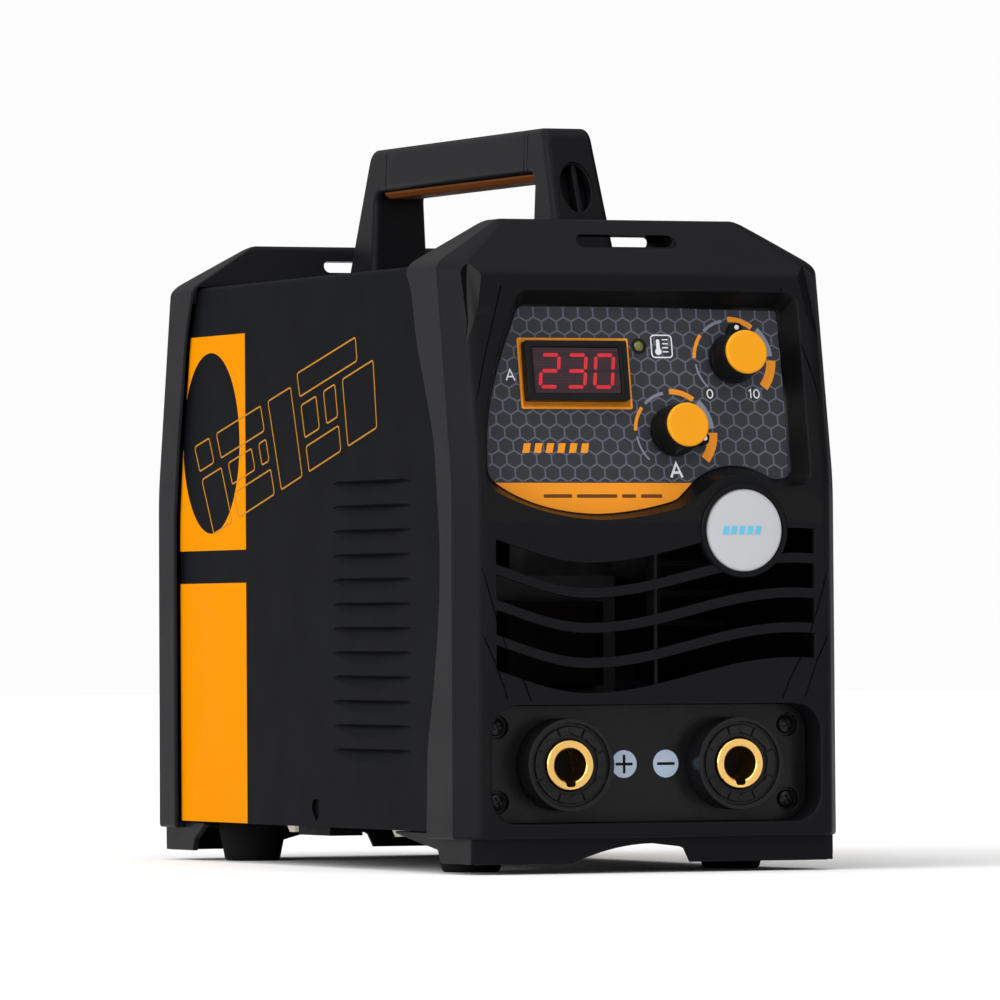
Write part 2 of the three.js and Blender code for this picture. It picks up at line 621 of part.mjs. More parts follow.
const shaftEnd = plateFace - 0.6 - knob.height + 2;
const knobTop = plateFace - 0.6 - knob.height;
const capDisc = () => turned([[0, knobTop - touchGap - knobCap.thickness],
  [knobCap.radius - 0.5, knobTop - touchGap - knobCap.thickness],
  [knobCap.radius, knobTop - touchGap - knobCap.thickness + 0.5], [knobCap.radius, knobTop - touchGap],
  [0, knobTop - touchGap]]);

const potFront = pocketBack + touchGap;
const potBack = potFront + potBody.depth;
const potGeometry = () => turned([[shaftRadius + touchGap, plateFace - bush.proud],
  [bush.radius, plateFace - bush.proud], [bush.radius, potFront], [potBody.radius, potFront],
  [potBody.radius, potBack], [shaftRadius + touchGap, potBack], [shaftRadius + touchGap, plateFace - bush.proud]],
  smallSides);
const shaftGeometry = () => disc(shaftRadius, shaftEnd, potBack - touchGap, smallSides);

// Turns a knob's own zero, straight up the panel, to the angle that its pointer shows.
function addKnob(name, dial, pointerDegrees) {
  const set = new THREE.Group();
  set.position.set(dial.x, 0, dial.s);
  set.rotation.y = THREE.MathUtils.degToRad(pointerDegrees);
  panel.add(set);
  add(`${name}_knob`, knobBody(), fanPlastic(), set);
  add(`${name}_knob_cap`, capDisc(), orangePlastic(), set);
  add(`${name}_pot_shaft`, shaftGeometry(), rawAluminium(), set);
  add(`${name}_pot_body`, potGeometry(), zinc(), set);
}

function displayBezel() {
  const halfWidth = bezel.width / 2;
  const halfHeight = bezel.height / 2;
  const frame = box(bezel.x - halfWidth, bezel.x + halfWidth, plateFace - bezel.proud, plateFace - touchGap,
    bezel.s - halfHeight, bezel.s + halfHeight);
  return cut(frame, bezelBox(touchGap, 0, plateFace));
}

const boardDepth = potBack + touchGap;
const displayModule = () => bezelBox(0, plateFace - bezel.proud + windowSize.sunk, boardDepth - touchGap);
const lampGeometry = () => turned([[0, plateFace - lamp.proud], [lamp.radius * 0.7, plateFace - lamp.proud],
  [lamp.radius, plateFace - lamp.proud + 0.8], [lamp.radius, plateFace + lamp.length],
  [0, plateFace + lamp.length]], smallSides).translate(lamp.x, 0, lamp.s);
const facePlate = () => cut(loft([outlinePoints(-touchGap), outlinePoints(-touchGap)], (point, level) => new THREE
  .Vector3(point.x, plateFace + level * plate.thickness, point.y)), ...panelHoles(plateFace - 1, pocketFloor));
const controlBoard = () => box(-board.halfWidth, board.halfWidth, boardDepth, boardDepth + board.thickness,
  board.low, board.high);

// ---------- terminals ----------
const socketAt = (geometry, side) => geometry.translate(side * socket.x, 0, socket.z);

function socketShell() {
  const ringGroove = tube(socket.radius - 2.2, contact.radius + 3.2, socket.face - 1, socket.face + 1.2);
  const shell = turned([[contact.radius + touchGap, socket.face], [socket.radius - 0.8, socket.face],
    [socket.radius, socket.face + 0.8], [socket.radius, recess.depth - touchGap],
    [socket.neckRadius, recess.depth - touchGap], [socket.neckRadius, socket.neckEnd],
    [contact.radius + touchGap, socket.neckEnd], [contact.radius + touchGap, socket.face]]);
  return cut(shell, ringGroove);
}

function socketContact() {
  const start = socket.face + 0.8;
  const flangeStart = socket.neckEnd + touchGap;
  const body = turned([[0, start], [contact.radius, start], [contact.radius, flangeStart],
    [contact.flange, flangeStart], [contact.flange, flangeStart + 6], [contact.radius, flangeStart + 6],
    [contact.radius, start + contact.boreDepth + 6], [contact.stud, start + contact.boreDepth + 6],
    [contact.stud, contact.length], [0, contact.length]]);
  const bore = disc(contact.bore, start - 1, start + contact.boreDepth);
  const key = box(-contact.keyWidth / 2, contact.keyWidth / 2, start - 1, start + contact.boreDepth / 2,
    -contact.bore - contact.keyDepth, 0);
  return cut(body, bore, key);
}

function terminalPlateGeometry() {
  const body = alongY(recessOutline(-touchGap), recess.depth, plateBack);
  const holes = socketSides.map(([, side]) => socketAt(disc(socket.neckRadius + touchGap, 0, plateBack + 1), side));
  const screws = screwPlaces.flatMap(([x, z]) => [
    disc(plateScrew.shankRadius + touchGap, 0, plateBack + 1, smallSides).translate(x, 0, z),
    disc(plateScrew.headRadius + 0.9, 0, recess.depth + plateScrew.headHeight + touchGap, smallSides)
      .translate(x, 0, z),
  ]);
  return cut(body, ...holes, ...screws);
}

function busbarGeometry(side) {
  const front = contact.length + touchGap;
  const path = outline([[front, busbar.low], [front + busbar.thickness, busbar.low],
    [front + busbar.thickness, busbar.high - busbar.thickness], [busbar.reach, busbar.high - busbar.thickness],
    [busbar.reach, busbar.high], [front, busbar.high]]);
  return alongX(path, side * socket.x - busbar.width / 2, side * socket.x + busbar.width / 2);
}

// ---------- rear fittings ----------
const fanFront = rearPanelBack - touchGap - fan.depth;
const fanAt = (geometry) => geometry.translate(0, 0, fan.z);
const fanMotorDepth = 4;

function rearPanel() {
  const plateShape = alongY(windowOutline(-touchGap), rearPanelBack, rearPanelFace);
  const { x, z, width, height } = mainsSwitch;
  return cut(plateShape, fanAt(disc(fan.throat, rearPanelBack - 1, rearPanelFace + 1)),
    box(x - width / 2 - touchGap, x + width / 2 + touchGap, rearPanelBack - 1, rearPanelFace + 1,
      z - height / 2 - touchGap, z + height / 2 + touchGap),
    disc(gland.thread + touchGap, rearPanelBack - 1, rearPanelFace + 1).translate(gland.x, 0, gland.z));
}

function fanFrame() {
  const half = fan.size / 2;
  const body = cut(alongY(roundedRect(-half, half, -half, half, 5), fanFront, fanFront + fan.depth, 3),
    disc(fan.throat, fanFront - 1, fanFront + fan.depth + 1));
  const arms = [0, 1, 2].map((i) => box(-2, 2, fanFront, fanFront + fanMotorDepth, 0, fan.throat + 2)
    .rotateY((i * 2 * Math.PI) / 3));
  const seat = disc(fan.hub, fanFront, fanFront + fanMotorDepth);
  const axleHole = disc(fan.axle + touchGap, fanFront - 1, fanFront + fanMotorDepth + 1, smallSides);
  return fanAt(cut(join(body, seat, ...arms), axleHole));
}

function fanRotor() {
  const start = fanFront + fanMotorDepth + touchGap;
  const end = fanFront + fan.depth - 2;
  const hub = turned([[0, start], [fan.hub, start], [fan.hub, end - 2], [fan.hub - 2, end], [0, end]]);
  const axle = disc(fan.axle, fanFront + 1, start + 1, smallSides);
  const reach = fan.throat - fan.tip;
  const blades = Array.from({ length: fan.bladeCount }, (_, i) => new THREE.BoxGeometry(
    fan.bladeThickness, end - start - 3, reach - fan.hub + 3)
    .rotateZ(0.75).translate(0, (start + end) / 2, (reach + fan.hub - 3) / 2)
    .rotateY((i * 2 * Math.PI) / fan.bladeCount));
  const sweep = tube(reach, 0.5, start, end);
  return fanAt(join(hub, axle, common(join(...blades), sweep)));
}

function fanGuard() {
  const near = rearPanelFace + touchGap;
  const far = near + guard.thickness;
  const { outer, ringPitch, count, ringWidth } = guard;
  const rings = Array.from({ length: count }, (_, i) => outer - i * ringPitch)
    .map((radius) => tube(radius, radius - ringWidth, near, far));
  const spokes = [0, 1].map((i) => box(-outer - 4, outer + 4, near, far - 0.4, -guard.spokeWidth / 2,
    guard.spokeWidth / 2).rotateY(Math.PI / 4 + (i * Math.PI) / 2));
  return fanAt(join(...rings, ...spokes));
}

const switchAt = (geometry) => geometry.translate(mainsSwitch.x, 0, mainsSwitch.z);

function switchHousing() {
  const { width, height, bezelRim, bezelThickness, depth } = mainsSwitch;
  const w = width / 2;
  const h = height / 2;
  const near = rearPanelFace + touchGap;
  const flange = box(-w - bezelRim, w + bezelRim, near, near + bezelThickness, -h - bezelRim, h + bezelRim);
  const body = box(-w, w, near - depth, near + 1, -h, h);
  const well = box(-w + 2, w - 2, near - rocker.halfThickness - 6, near + bezelThickness + 1, -h + 1.5, h - 1.5);
  return switchAt(cut(join(flange, body), well));
}

// The rocker turns about an axle along X that lies in the panel's plane; its two faces meet at a shallow valley.
const rockerPivot = rearPanelFace;
function switchRocker() {
  const half = mainsSwitch.height / 2 - 1.5 - rocker.clearance - 0.6;
  const reach = rocker.proud + mainsSwitch.bezelThickness;
  const side = outline([[-5, -3], [-5, 3], [0, half], [reach, half], [reach - 1.8, 0], [reach, -half], [0, -half]]);
  const width = mainsSwitch.width / 2 - 2 - rocker.clearance;
  return alongX(side, -width, width).rotateX(rocker.tilt).translate(mainsSwitch.x, rockerPivot, mainsSwitch.z);
}

const glandAt = (geometry) => geometry.translate(gland.x, 0, gland.z);
function glandBody() {
  const near = rearPanelFace + touchGap;
  const tip = near + gland.proud;
  return glandAt(turned([[gland.bore, rearPanelBack - 9], [gland.thread, rearPanelBack - 9], [gland.thread, near],
    [gland.capRadius + 1.5, near], [gland.capRadius + 1.5, near + 4], [gland.capRadius, near + 4.6],
    [gland.capRadius, tip - 4], [gland.bore + 2.4, tip], [gland.bore, tip], [gland.bore, rearPanelBack - 9]]));
}

function glandNut() {
  const near = rearPanelBack - touchGap;
  const hexagon = disc(gland.nutRadius, near - gland.nutDepth, near, 6);
  return glandAt(cut(hexagon, disc(gland.thread + touchGap, near - gland.nutDepth - 1, near + 1)));
}

// ---------- handle ----------
function handleShell() {
  const { front, length, pillar, lean, top, topRound, gripUnderside, halfWidth, bevel } = handle;
  const base = coverTop + touchGap;
  const rear = front + length;
  const shape = new THREE.Shape();
  shape.moveTo(front + bevel, base + bevel);
  shape.lineTo(front + pillar - bevel, base + bevel);
  shape.lineTo(front + pillar - bevel, gripUnderside + bevel);
  shape.lineTo(rear - pillar + bevel, gripUnderside + bevel);
  shape.lineTo(rear - pillar + bevel, base + bevel);
  shape.lineTo(rear - bevel, base + bevel);
  shape.lineTo(rear - lean, top - topRound);
  shape.quadraticCurveTo(rear - lean - 2, top - bevel, rear - lean - topRound, top - bevel);
  shape.lineTo(front + lean + topRound, top - bevel);
  shape.quadraticCurveTo(front + lean + 2, top - bevel, front + lean, top - topRound);
  const blank = new THREE.ExtrudeGeometry(shape, {
    depth: 2 * (halfWidth - bevel), curveSegments: 4, bevelThickness: bevel, bevelSize: bevel, bevelSegments: 1,
  }).applyMatrix4(sideways).translate(bevel - halfWidth, 0, 0);
  const bores = handleScrewPlaces.map((y) => upright(disc(handleScrew.shankRadius + touchGap, 0,
    handleScrew.length + 2, smallSides)).translate(0, y, base - 2));
  const groove = box(-gripInsert.halfWidth - touchGap, gripInsert.halfWidth + touchGap,
    front + pillar + gripInsert.endGap - touchGap, rear - pillar - gripInsert.endGap + touchGap,
    gripUnderside - 8, gripUnderside + 2 + touchGap);
  return cut(blank, ...bores, groove);
}

const gripInsertGeometry = () => box(-gripInsert.halfWidth, gripInsert.halfWidth,
  handle.front + handle.pillar + gripInsert.endGap,
  handle.front + handle.length - handle.pillar - gripInsert.endGap,
  handle.gripUnderside - gripInsert.drop, handle.gripUnderside + 2);

const handleScrewGeometry = (y) => upright(panScrew(handleScrew)).translate(0, y, coverTop - sheet - touchGap);

// ---------- electronics ----------
const boardTop = powerBoard.z + powerBoard.thickness;

function heatsinkGeometry(side) {
  const { base, inner, fins, fin, reach, bottom, height, front, length } = heatsink;
  const pitch = (height - fin) / (fins - 1);
  const comb = [[inner, bottom]];
  for (let i = 0; i < fins; i += 1) {
    const low = bottom + i * pitch;
    comb.push([inner + reach, low], [inner + reach, low + fin]);
    if (i < fins - 1) comb.push([inner + base, low + fin], [inner + base, low + pitch]);
  }
  comb.push([inner, bottom + height]);
  return alongY(outline(comb), front, front + length).scale(side, 1, 1);
}

function transformerCore() {
  const { width, height, depth, leg, yoke, outerLeg, y } = transformer;
  const block = box(-width / 2, width / 2, y - depth / 2, y + depth / 2, 0, height);
  const coilWindow = box(leg, width / 2 - outerLeg, y - depth, y + depth, yoke, height - yoke);
  return cut(block, coilWindow, coilWindow.clone().rotateZ(Math.PI).translate(0, 2 * y, 0))
    .translate(0, 0, boardTop + touchGap);
}

function transformerWinding() {
  const { height, depth, leg, yoke, coilReach, y } = transformer;
  const inner = [leg + touchGap, depth / 2 + touchGap];
  const shape = roundedRect(-leg - coilReach + touchGap, leg + coilReach - touchGap, -depth / 2 - coilReach,
    depth / 2 + coilReach, 5);
  shape.holes.push(new THREE.Path([[-inner[0], -inner[1]], [inner[0], -inner[1]], [inner[0], inner[1]],
    [-inner[0], inner[1]]].map(([u, v]) => new THREE.Vector2(u, v))));
  return alongZ(shape, yoke + touchGap, height - yoke - touchGap).translate(0, y, boardTop + touchGap);
}

const chokeGeometry = () => upright(tube(choke.outer, choke.inner, 0, choke.height))
  .translate(choke.x, choke.y, boardTop + touchGap);

const capacitorGeometry = (x) => upright(turned([[0, 0], [capacitor.radius - 1, 0], [capacitor.radius, 1],
  [capacitor.radius, capacitor.height], [0, capacitor.height]], smallSides))
  .translate(x, capacitor.y, boardTop + touchGap);

function rectifierModule() {
  const { x, y, width, length, height, step } = rectifier;
  const shape = outline([[0, 0], [length, 0], [length, height - step], [length * 0.8, height - step],
    [length * 0.8, height], [length * 0.2, height], [length * 0.2, height - step], [0, height - step]]);
  return alongX(shape, x - width / 2, x + width / 2).translate(0, y, boardTop + touchGap);
}

// ---------- assembly ----------
add('front_cap', frontCap(), capPlastic());
add('rear_cap', rearCap(), capPlastic());
add('cover_shell', coverShell(), blackSheet());
add('base_tray', baseTray(), blackSteel());

add('control_faceplate', facePlate(), graphicFilm(), panel);
add('display_bezel', displayBezel(), capPlastic(), panel);
add('display_module', displayModule(), displayRed(), panel);
add('thermal_lamp', lampGeometry(), lampOlive(), panel);
add('control_board', controlBoard(), greenBoard(), panel);
addKnob('current', currentDial, 105);
addKnob('arc', arcDial, 8);
add('badge_disc', badgeDisc(badge.radius, -badge.proud / 2 - 0.2, badge.thickness - badge.proud / 2 - touchGap),
  badgeWhite());

add('terminal_plate', terminalPlateGeometry(), capPlastic());
screwPlaces.forEach(([x, z], i) => add(`terminal_plate_screw_${i + 1}`,
  panScrew(plateScrew).translate(x, recess.depth + plateScrew.headHeight, z), blackSteel()));
socketSides.forEach(([name, side]) => {
  add(`socket_shell_${name}`, socketAt(socketShell(), side), capPlastic());
  add(`socket_contact_${name}`, socketAt(socketContact(), side), brass());
  add(`busbar_${name}`, busbarGeometry(side), copperBar());
});

add('handle_shell', handleShell(), capPlastic());
add('handle_grip_insert', gripInsertGeometry(), orangePlastic());
handleScrewPlaces.forEach((y, i) => add(`handle_screw_${['front', 'rear'][i]}`, handleScrewGeometry(y), zinc()));

footPlaces.forEach(([name, x, y]) => add(`foot_${name}`, footRubber().translate(x, y, 0), rubber()));
basePlaces.forEach(([name, x, y]) => add(`base_screw_${name}`,
  upright(panScrew(baseScrew)).translate(x, y, coverBottom + 0.1 - touchGap), zinc()));

add('power_board', box(-powerBoard.halfWidth, powerBoard.halfWidth, powerBoard.front, powerBoard.rear, powerBoard.z,
  boardTop), greenBoard());
add('heatsink_left', heatsinkGeometry(-1), rawAluminium());
add('heatsink_right', heatsinkGeometry(1), rawAluminium());
add('transformer_core', transformerCore(), ferrite());
add('transformer_winding', transformerWinding(), copperWire());
add('output_choke', chokeGeometry(), copperWire());
for (let i = 0; i < capacitor.count; i += 1) {
  add(`capacitor_${i + 1}`, capacitorGeometry((i - 1) * capacitor.spacing), capacitorSleeve());
}
add('rectifier_module', rectifierModule(), capacitorSleeve());

add('rear_panel', rearPanel(), blackSheet());
add('fan_frame', fanFrame(), fanPlastic());
add('fan_rotor', fanRotor(), fanPlastic());
add('fan_guard', fanGuard(), blackSteel());
add('switch_housing', switchHousing(), fanPlastic());
add('switch_rocker', switchRocker(), orangePlastic());
add('cable_gland_body', glandBody(), fanPlastic());
add('cable_gland_nut', glandNut(), fanPlastic());

// The origin ends on the floor, under the middle of the overall box.
const overall = new THREE.Box3().setFromObject(model, true);
model.position.y = -(overall.min.y + overall.max.y) / 2;
const inverter = new THREE.Group();
inverter.add(model);

export default inverter;
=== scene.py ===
"""Stick welding inverter: the fine shells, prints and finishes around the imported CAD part.

Shapes are drawn in millimetres in a drawing frame: x across the front, y from the front face to the
rear, z up from the floor. settle() moves a finished mesh into the frame's metres.
"""
import math

import bmesh
import bpy
from mathutils import Matrix, Vector


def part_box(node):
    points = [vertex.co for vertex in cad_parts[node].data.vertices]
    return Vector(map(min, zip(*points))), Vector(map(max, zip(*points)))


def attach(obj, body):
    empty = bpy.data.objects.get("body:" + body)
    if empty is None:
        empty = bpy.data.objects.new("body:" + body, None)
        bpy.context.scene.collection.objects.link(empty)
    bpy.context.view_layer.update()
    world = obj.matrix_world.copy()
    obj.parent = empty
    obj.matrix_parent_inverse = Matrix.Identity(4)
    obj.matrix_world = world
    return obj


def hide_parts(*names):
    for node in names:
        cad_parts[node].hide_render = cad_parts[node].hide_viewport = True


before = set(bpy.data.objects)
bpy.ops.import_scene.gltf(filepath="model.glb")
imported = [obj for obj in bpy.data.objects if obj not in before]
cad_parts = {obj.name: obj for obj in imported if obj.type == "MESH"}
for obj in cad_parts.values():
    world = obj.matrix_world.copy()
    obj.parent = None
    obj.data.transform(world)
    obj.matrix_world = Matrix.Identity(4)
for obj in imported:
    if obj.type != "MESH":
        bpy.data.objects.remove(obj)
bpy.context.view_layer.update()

# ---------- sizes, in millimetres ----------
DEPTH = 341.0
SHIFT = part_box("rear_cap")[1].y * 1000 - DEPTH
CAP_BOTTOM, CAP_TOP = 13.5, 254.4
CAP_HALF, SHOULDER_HALF, TOP_HALF = 81.2, 80.6, 50.7
SHOULDER_Z, BROW_Z, LEAN_Z = 236.5, 232.0, 152.0
LEAN = math.radians(10)
TOP_SETBACK = 36.6
CORNER_DEPTH, CORNER_INSET = (12.0, 9.2), 7.2
CAP_WALL = 2.4
HUMP_FLOOR = 236.9
SKIRT_INSET, SKIRT_BOTTOM, SKIRT_WALL = 4.6, 3.9, 2.4
PLATE_DEPTH, PLATE_SHEET = 9.0, 1.5
PLATE = {"left": -66.9, "top_left": -49.2, "right": 62.0, "top": 70.8, "bottom": 1.8, "low": -12.1}
BADGE_X, BADGE_Z, BADGE_R, BADGE_BITE = 37.0, 132.5, 16.15, 26.5
BADGE_CENTRE, LAMP_CENTRE = (BADGE_X, BADGE_Z), (0.9, 54.8)
GRILLE = {"half": 67.2, "top": 126.7, "swing": 6.7, "low_x": -28.3, "right": 86.3, "left": 62.8,
          "height": 9.6, "pitch": 13.55}
RECESS = {"half": 69.4, "bottom": 19.4, "top": 65.1, "radius": 11.0, "depth": 14.0}
SOCKET_X, SOCKET_Z = 35.9, 42.0
DIALS = {"current": (12.6, 20.8, 105.0), "arc": (39.9, 49.7, 8.0)}
COVER_HALF, COVER_TOP, COVER_BOTTOM = 77.8, 236.5, 16.2


# ---------- outlines ----------
TINY = 1e-6


def arc(cx, cy, radius, start, end, steps=12):
    turn = [math.radians(start + (end - start) * k / steps) for k in range(steps + 1)]
    return [(cx + radius * math.cos(a), cy + radius * math.sin(a)) for a in turn]


def bezier(points, steps=16):
    curve = []
    for k in range(steps + 1):
        level, t = [Vector(p) for p in points], k / steps
        while len(level) > 1:
            level = [a.lerp(b, t) for a, b in zip(level, level[1:])]
        curve.append(tuple(level[0]))
    return curve


def fillet(points, radii, steps=4):
    """A closed outline with each corner replaced by an arc; every corner gives steps + 1 points."""
    out = []
    for i, point in enumerate(points):
        radius = radii[i] if isinstance(radii, (list, tuple)) else radii
        here, before, after = Vector(point), Vector(points[i - 1]), Vector(points[(i + 1) % len(points)])
        if radius <= 0:
            out.append(tuple(here))
            continue
        u, v = (before - here), (after - here)
        room = 0.49 * min(u.length, v.length)
        u.normalize()
        v.normalize()
        half = u.angle(v) / 2
        back = min(radius / math.tan(half), room)
        start, end = here + u * back, here + v * back
        out.extend(tuple(start.lerp(here, t).lerp(here.lerp(end, t), t)) if half > 1.45 else
                   arc_point(here, u, v, half, back, t) for t in (k / steps for k in range(steps + 1)))
    return out


def arc_point(corner, u, v, half, back, t):
    radius = back * math.tan(half)
    centre = corner + (u + v).normalized() * (radius / math.sin(half))
    a, b = corner + u * back - centre, corner + v * back - centre
    sweep = a.angle(b)
    mixed = (a * math.sin((1 - t) * sweep) + b * math.sin(t * sweep)) / math.sin(sweep)
    return tuple(centre + mixed)


def trimmed(curve, start, end):
    """The curve without its first start and last end millimetres."""
    def cut_front(points, length):
        points = [Vector(p) for p in points]
        while len(points) > 2 and (points[1] - points[0]).length <= length:
            length -= (points[1] - points[0]).length
            points.pop(0)
        step = points[1] - points[0]
        points[0] = points[0] + step.normalized() * min(length, step.length * 0.9)
        return [tuple(p) for p in points]
    return cut_front(cut_front(curve, start)[::-1], end)[::-1]


def joined(curves, eases, steps=5):
    """One closed outline through several curves; eases[i] rounds the corner at the end of curve i."""
    out = []
    for i, curve in enumerate(curves):
        after = (i + 1) % len(curves)
        body = trimmed(curve, eases[i - 1], eases[i])
        following = trimmed(curves[after], eases[i], eases[after])
        out.extend(body)
        out.extend(bezier([body[-1], curve[-1], following[0]], steps)[1:-1])
    return out


def area_of(points):
    return sum(a[0] * b[1] - b[0] * a[1] for a, b in zip(points, points[1:] + points[:1])) / 2


def offset(points, distance):
    """The closed outline pushed outwards by distance."""
    if abs(distance) < TINY:
        return points
    sign = 1 if area_of(points) > 0 else -1
    out = []
    for i, point in enumerate(points):
        here = Vector(point)
        u = (here - Vector(points[i - 1])).normalized()
        v = (Vector(points[(i + 1) % len(points)]) - here).normalized()
        n, m = Vector((u.y, -u.x)) * sign, Vector((v.y, -v.x)) * sign
        out.append(tuple(here + (n + m) * (distance / max(0.35, 1 + n.dot(m)))))
    return out


def rounded_rect(x0, x1, z0, z1, radius, steps=8):
    return fillet([(x0, z0), (x1, z0), (x1, z1), (x0, z1)], radius, steps)


def ellipse(cx, cy, rx, ry, steps=64):
    return [(cx + rx * math.cos(2 * math.pi * k / steps), cy + ry * math.sin(2 * math.pi * k / steps))
            for k in range(steps)]


def stroke(path, width, closed=False):
    """A flat line of one width along a path, as a closed outline, or an outer and an inner one."""
    if closed:
        return offset(path, width / 2), offset(path, -width / 2)
    left, right = [], []
    for i, point in enumerate(path):
        here = Vector(point)
        u = (here - Vector(path[i - 1])).normalized() if i else None
        v = (Vector(path[i + 1]) - here).normalized() if i + 1 < len(path) else None
        u, v = u or v, v or u
        n, m = Vector((u.y, -u.x)), Vector((v.y, -v.x))
        side = (n + m) * (width / 2 / max(0.4, 1 + n.dot(m)))
        left.append(tuple(here + side))
        right.append(tuple(here - side))
    return left + right[::-1]


# ---------- places: how an outline's two numbers and a depth become a point ----------
def on_front(u, v, w):
    return (u, w, v)


def on_side(side):
    return lambda u, v, w: (side * (COVER_HALF - w), u, v)


def on_floor(u, v, w):
    return (u, v, w)


def on_panel(u, v, w):
    return (u, w * math.cos(LEAN) + v * math.sin(LEAN), LEAN_Z + v * math.cos(LEAN) - w * math.sin(LEAN))


def across(u, v, w):
    return (w, u, v)


# ---------- meshes ----------
def mesh_object(name, verts, faces):
    mesh = bpy.data.meshes.new(name)
    mesh.from_pydata([tuple(v) for v in verts], [], [tuple(f) for f in faces])
    obj = bpy.data.objects.new(name, mesh)
    bpy.context.scene.collection.objects.link(obj)
    bm = bmesh.new()
    bm.from_mesh(mesh)
    bmesh.ops.remove_doubles(bm, verts=bm.verts, dist=1e-4)
    bmesh.ops.recalc_face_normals(bm, faces=bm.faces)
    bm.to_mesh(mesh)
    bm.free()
    return obj


def loft(name, rings):
    count = len(rings[0])
    faces = []
    for k in range(len(rings) - 1):
        for i in range(count):
            j = (i + 1) % count
            faces.append((k * count + i, k * count + j, (k + 1) * count + j, (k + 1) * count + i))
    last = (len(rings) - 1) * count
    faces.append(tuple(reversed(range(count))))
    faces.append(tuple(last + i for i in range(count)))
    return mesh_object(name, [p for ring in rings for p in ring], faces)


def rim(at, radius, steps, sign=1):
    """Stations (depth, inset) of a rounded rim that starts at one depth and ends with no inset."""
    if not radius:
        return [(at, 0)]
    angles = [math.radians(90 * k / steps) for k in range(steps + 1)]
    return [(at + sign * radius * (1 - math.cos(a)), radius * (1 - math.sin(a))) for a in angles]


def swept(name, outline, place, stations):
    """A loft through copies of an outline, each grown by the second number of its (depth, growth) station."""
    return loft(name, [[place(u, v, depth) for u, v in offset(outline, grow)] for depth, grow in stations])


def slab(name, outline, place, near, far, ease_near=0.0, ease_far=0.0, steps=3):
    """An outline pushed from depth near to depth far, with its rims rounded."""
    stations = rim(near, ease_near, steps) + rim(far, ease_far, steps, -1)[::-1]
    return swept(name, outline, place, [(depth, -inset) for depth, inset in stations])


def flared(name, outline, place, far, flare, near=-3.0, surface=0.0):
    """A cutter that leaves a rounded rim of radius flare where it enters the surface."""
    return swept(name, outline, place, [(near, flare)] + rim(surface, flare, 4) + [(far, 0)])


def lathe(name, profile, centre=(0, 0), place=on_front, steps=72):
    """profile is (radius, depth) pairs, from axis to axis or closed on itself."""
    closed = profile[0][0] > TINY or profile[-1][0] > TINY
    verts, rows = [], []
    for radius, depth in profile:
        if radius < TINY:
            rows.append([len(verts)] * steps)
            verts.append(place(centre[0], centre[1], depth))
            continue
        rows.append([len(verts) + k for k in range(steps)])
        for k in range(steps):
            a = 2 * math.pi * k / steps
            verts.append(place(centre[0] + radius * math.cos(a), centre[1] + radius * math.sin(a), depth))
    faces = []
    for low, high in zip(rows, rows[1:] + rows[:1] if closed else rows[1:]):
        for k in range(steps):
            j = (k + 1) % steps
            face = list(dict.fromkeys((low[k], low[j], high[j], high[k])))
            if len(face) > 2:
                faces.append(face)
    return mesh_object(name, verts, faces)


def turned(name, profile, ease=0.4, **where):
    """A lathe piece whose profile corners are rounded, apart from those on the axis."""
    radii = [0 if p[0] < TINY else ease for p in profile]
    return lathe(name, fillet(profile, radii, 3), **where)


def drum(radius, near, far, centre, place=on_front):
    """A plain round cutter."""
    return lathe("drum", [(0, near), (radius, near), (radius, far), (0, far)], centre, place)


def boolean(target, cutters, operation="DIFFERENCE"):
    for cutter in cutters:
        modifier = target.modifiers.new("cut", "BOOLEAN")
        modifier.object = cutter
        modifier.operation = operation
        modifier.solver = "MANIFOLD"
    graph = bpy.context.evaluated_depsgraph_get()
    mesh = bpy.data.meshes.new_from_object(target.evaluated_get(graph))
    target.modifiers.clear()
    old = target.data
    target.data = mesh
    bpy.data.meshes.remove(old)
    for cutter in cutters:
        bpy.data.objects.remove(cutter)
    return target


def union(target, *others):
    return boolean(target, others, "UNION")


def cut(target, *cutters):
    return boolean(target, cutters)


def merge(name, objects):
    """Several closed bodies as one mesh."""
    verts, faces = [], []
    for obj in objects:
        start = len(verts)
        verts.extend(v.co.copy() for v in obj.data.vertices)
        faces.extend([start + i for i in p.vertices] for p in obj.data.polygons)
        bpy.data.objects.remove(obj)
    return mesh_object(name, verts, faces)


def mirror_ends(obj):
    """The piece at the other end of the body."""
    obj.data.transform(Matrix.Translation((0, DEPTH, 0)) @ Matrix.Scale(-1, 4, (0, 1, 0)))
    obj.data.flip_normals()
    return obj


def settle(obj, material, slot, *nodes, body="chassis", sharp=32):
    """Scales a drawn mesh into the frame, shades it, gives it its finish and its body, and hides the CAD
    nodes it stands in for.
    """
    obj.data.transform(Matrix.Scale(0.001, 4) @ Matrix.Translation((0, SHIFT, 0)))
    for polygon in obj.data.polygons:
        polygon.use_smooth = True
    obj.data.set_sharp_from_angle(angle=math.radians(sharp))
    weighted = obj.modifiers.new("flat_faces", "WEIGHTED_NORMAL")
    weighted.keep_sharp = True
    obj.data.materials.clear()
    obj.data.materials.append(material)
    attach(obj, body)
    if nodes:
        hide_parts(*nodes)
    return obj


# ---------- materials ----------
def new_material(name):
    material = bpy.data.materials.new(name)
    material.use_nodes = True
    tree = material.node_tree
    return material, tree, tree.nodes["Principled BSDF"]


def fill(tree, node, sockets):
    """Sets a node's inputs by name: another node's output is linked, anything else is a value."""
    for name, value in sockets.items():
        if isinstance(value, bpy.types.NodeSocket):
            tree.links.new(value, node.inputs[name])
        else:
            node.inputs[name].default_value = value
    return node


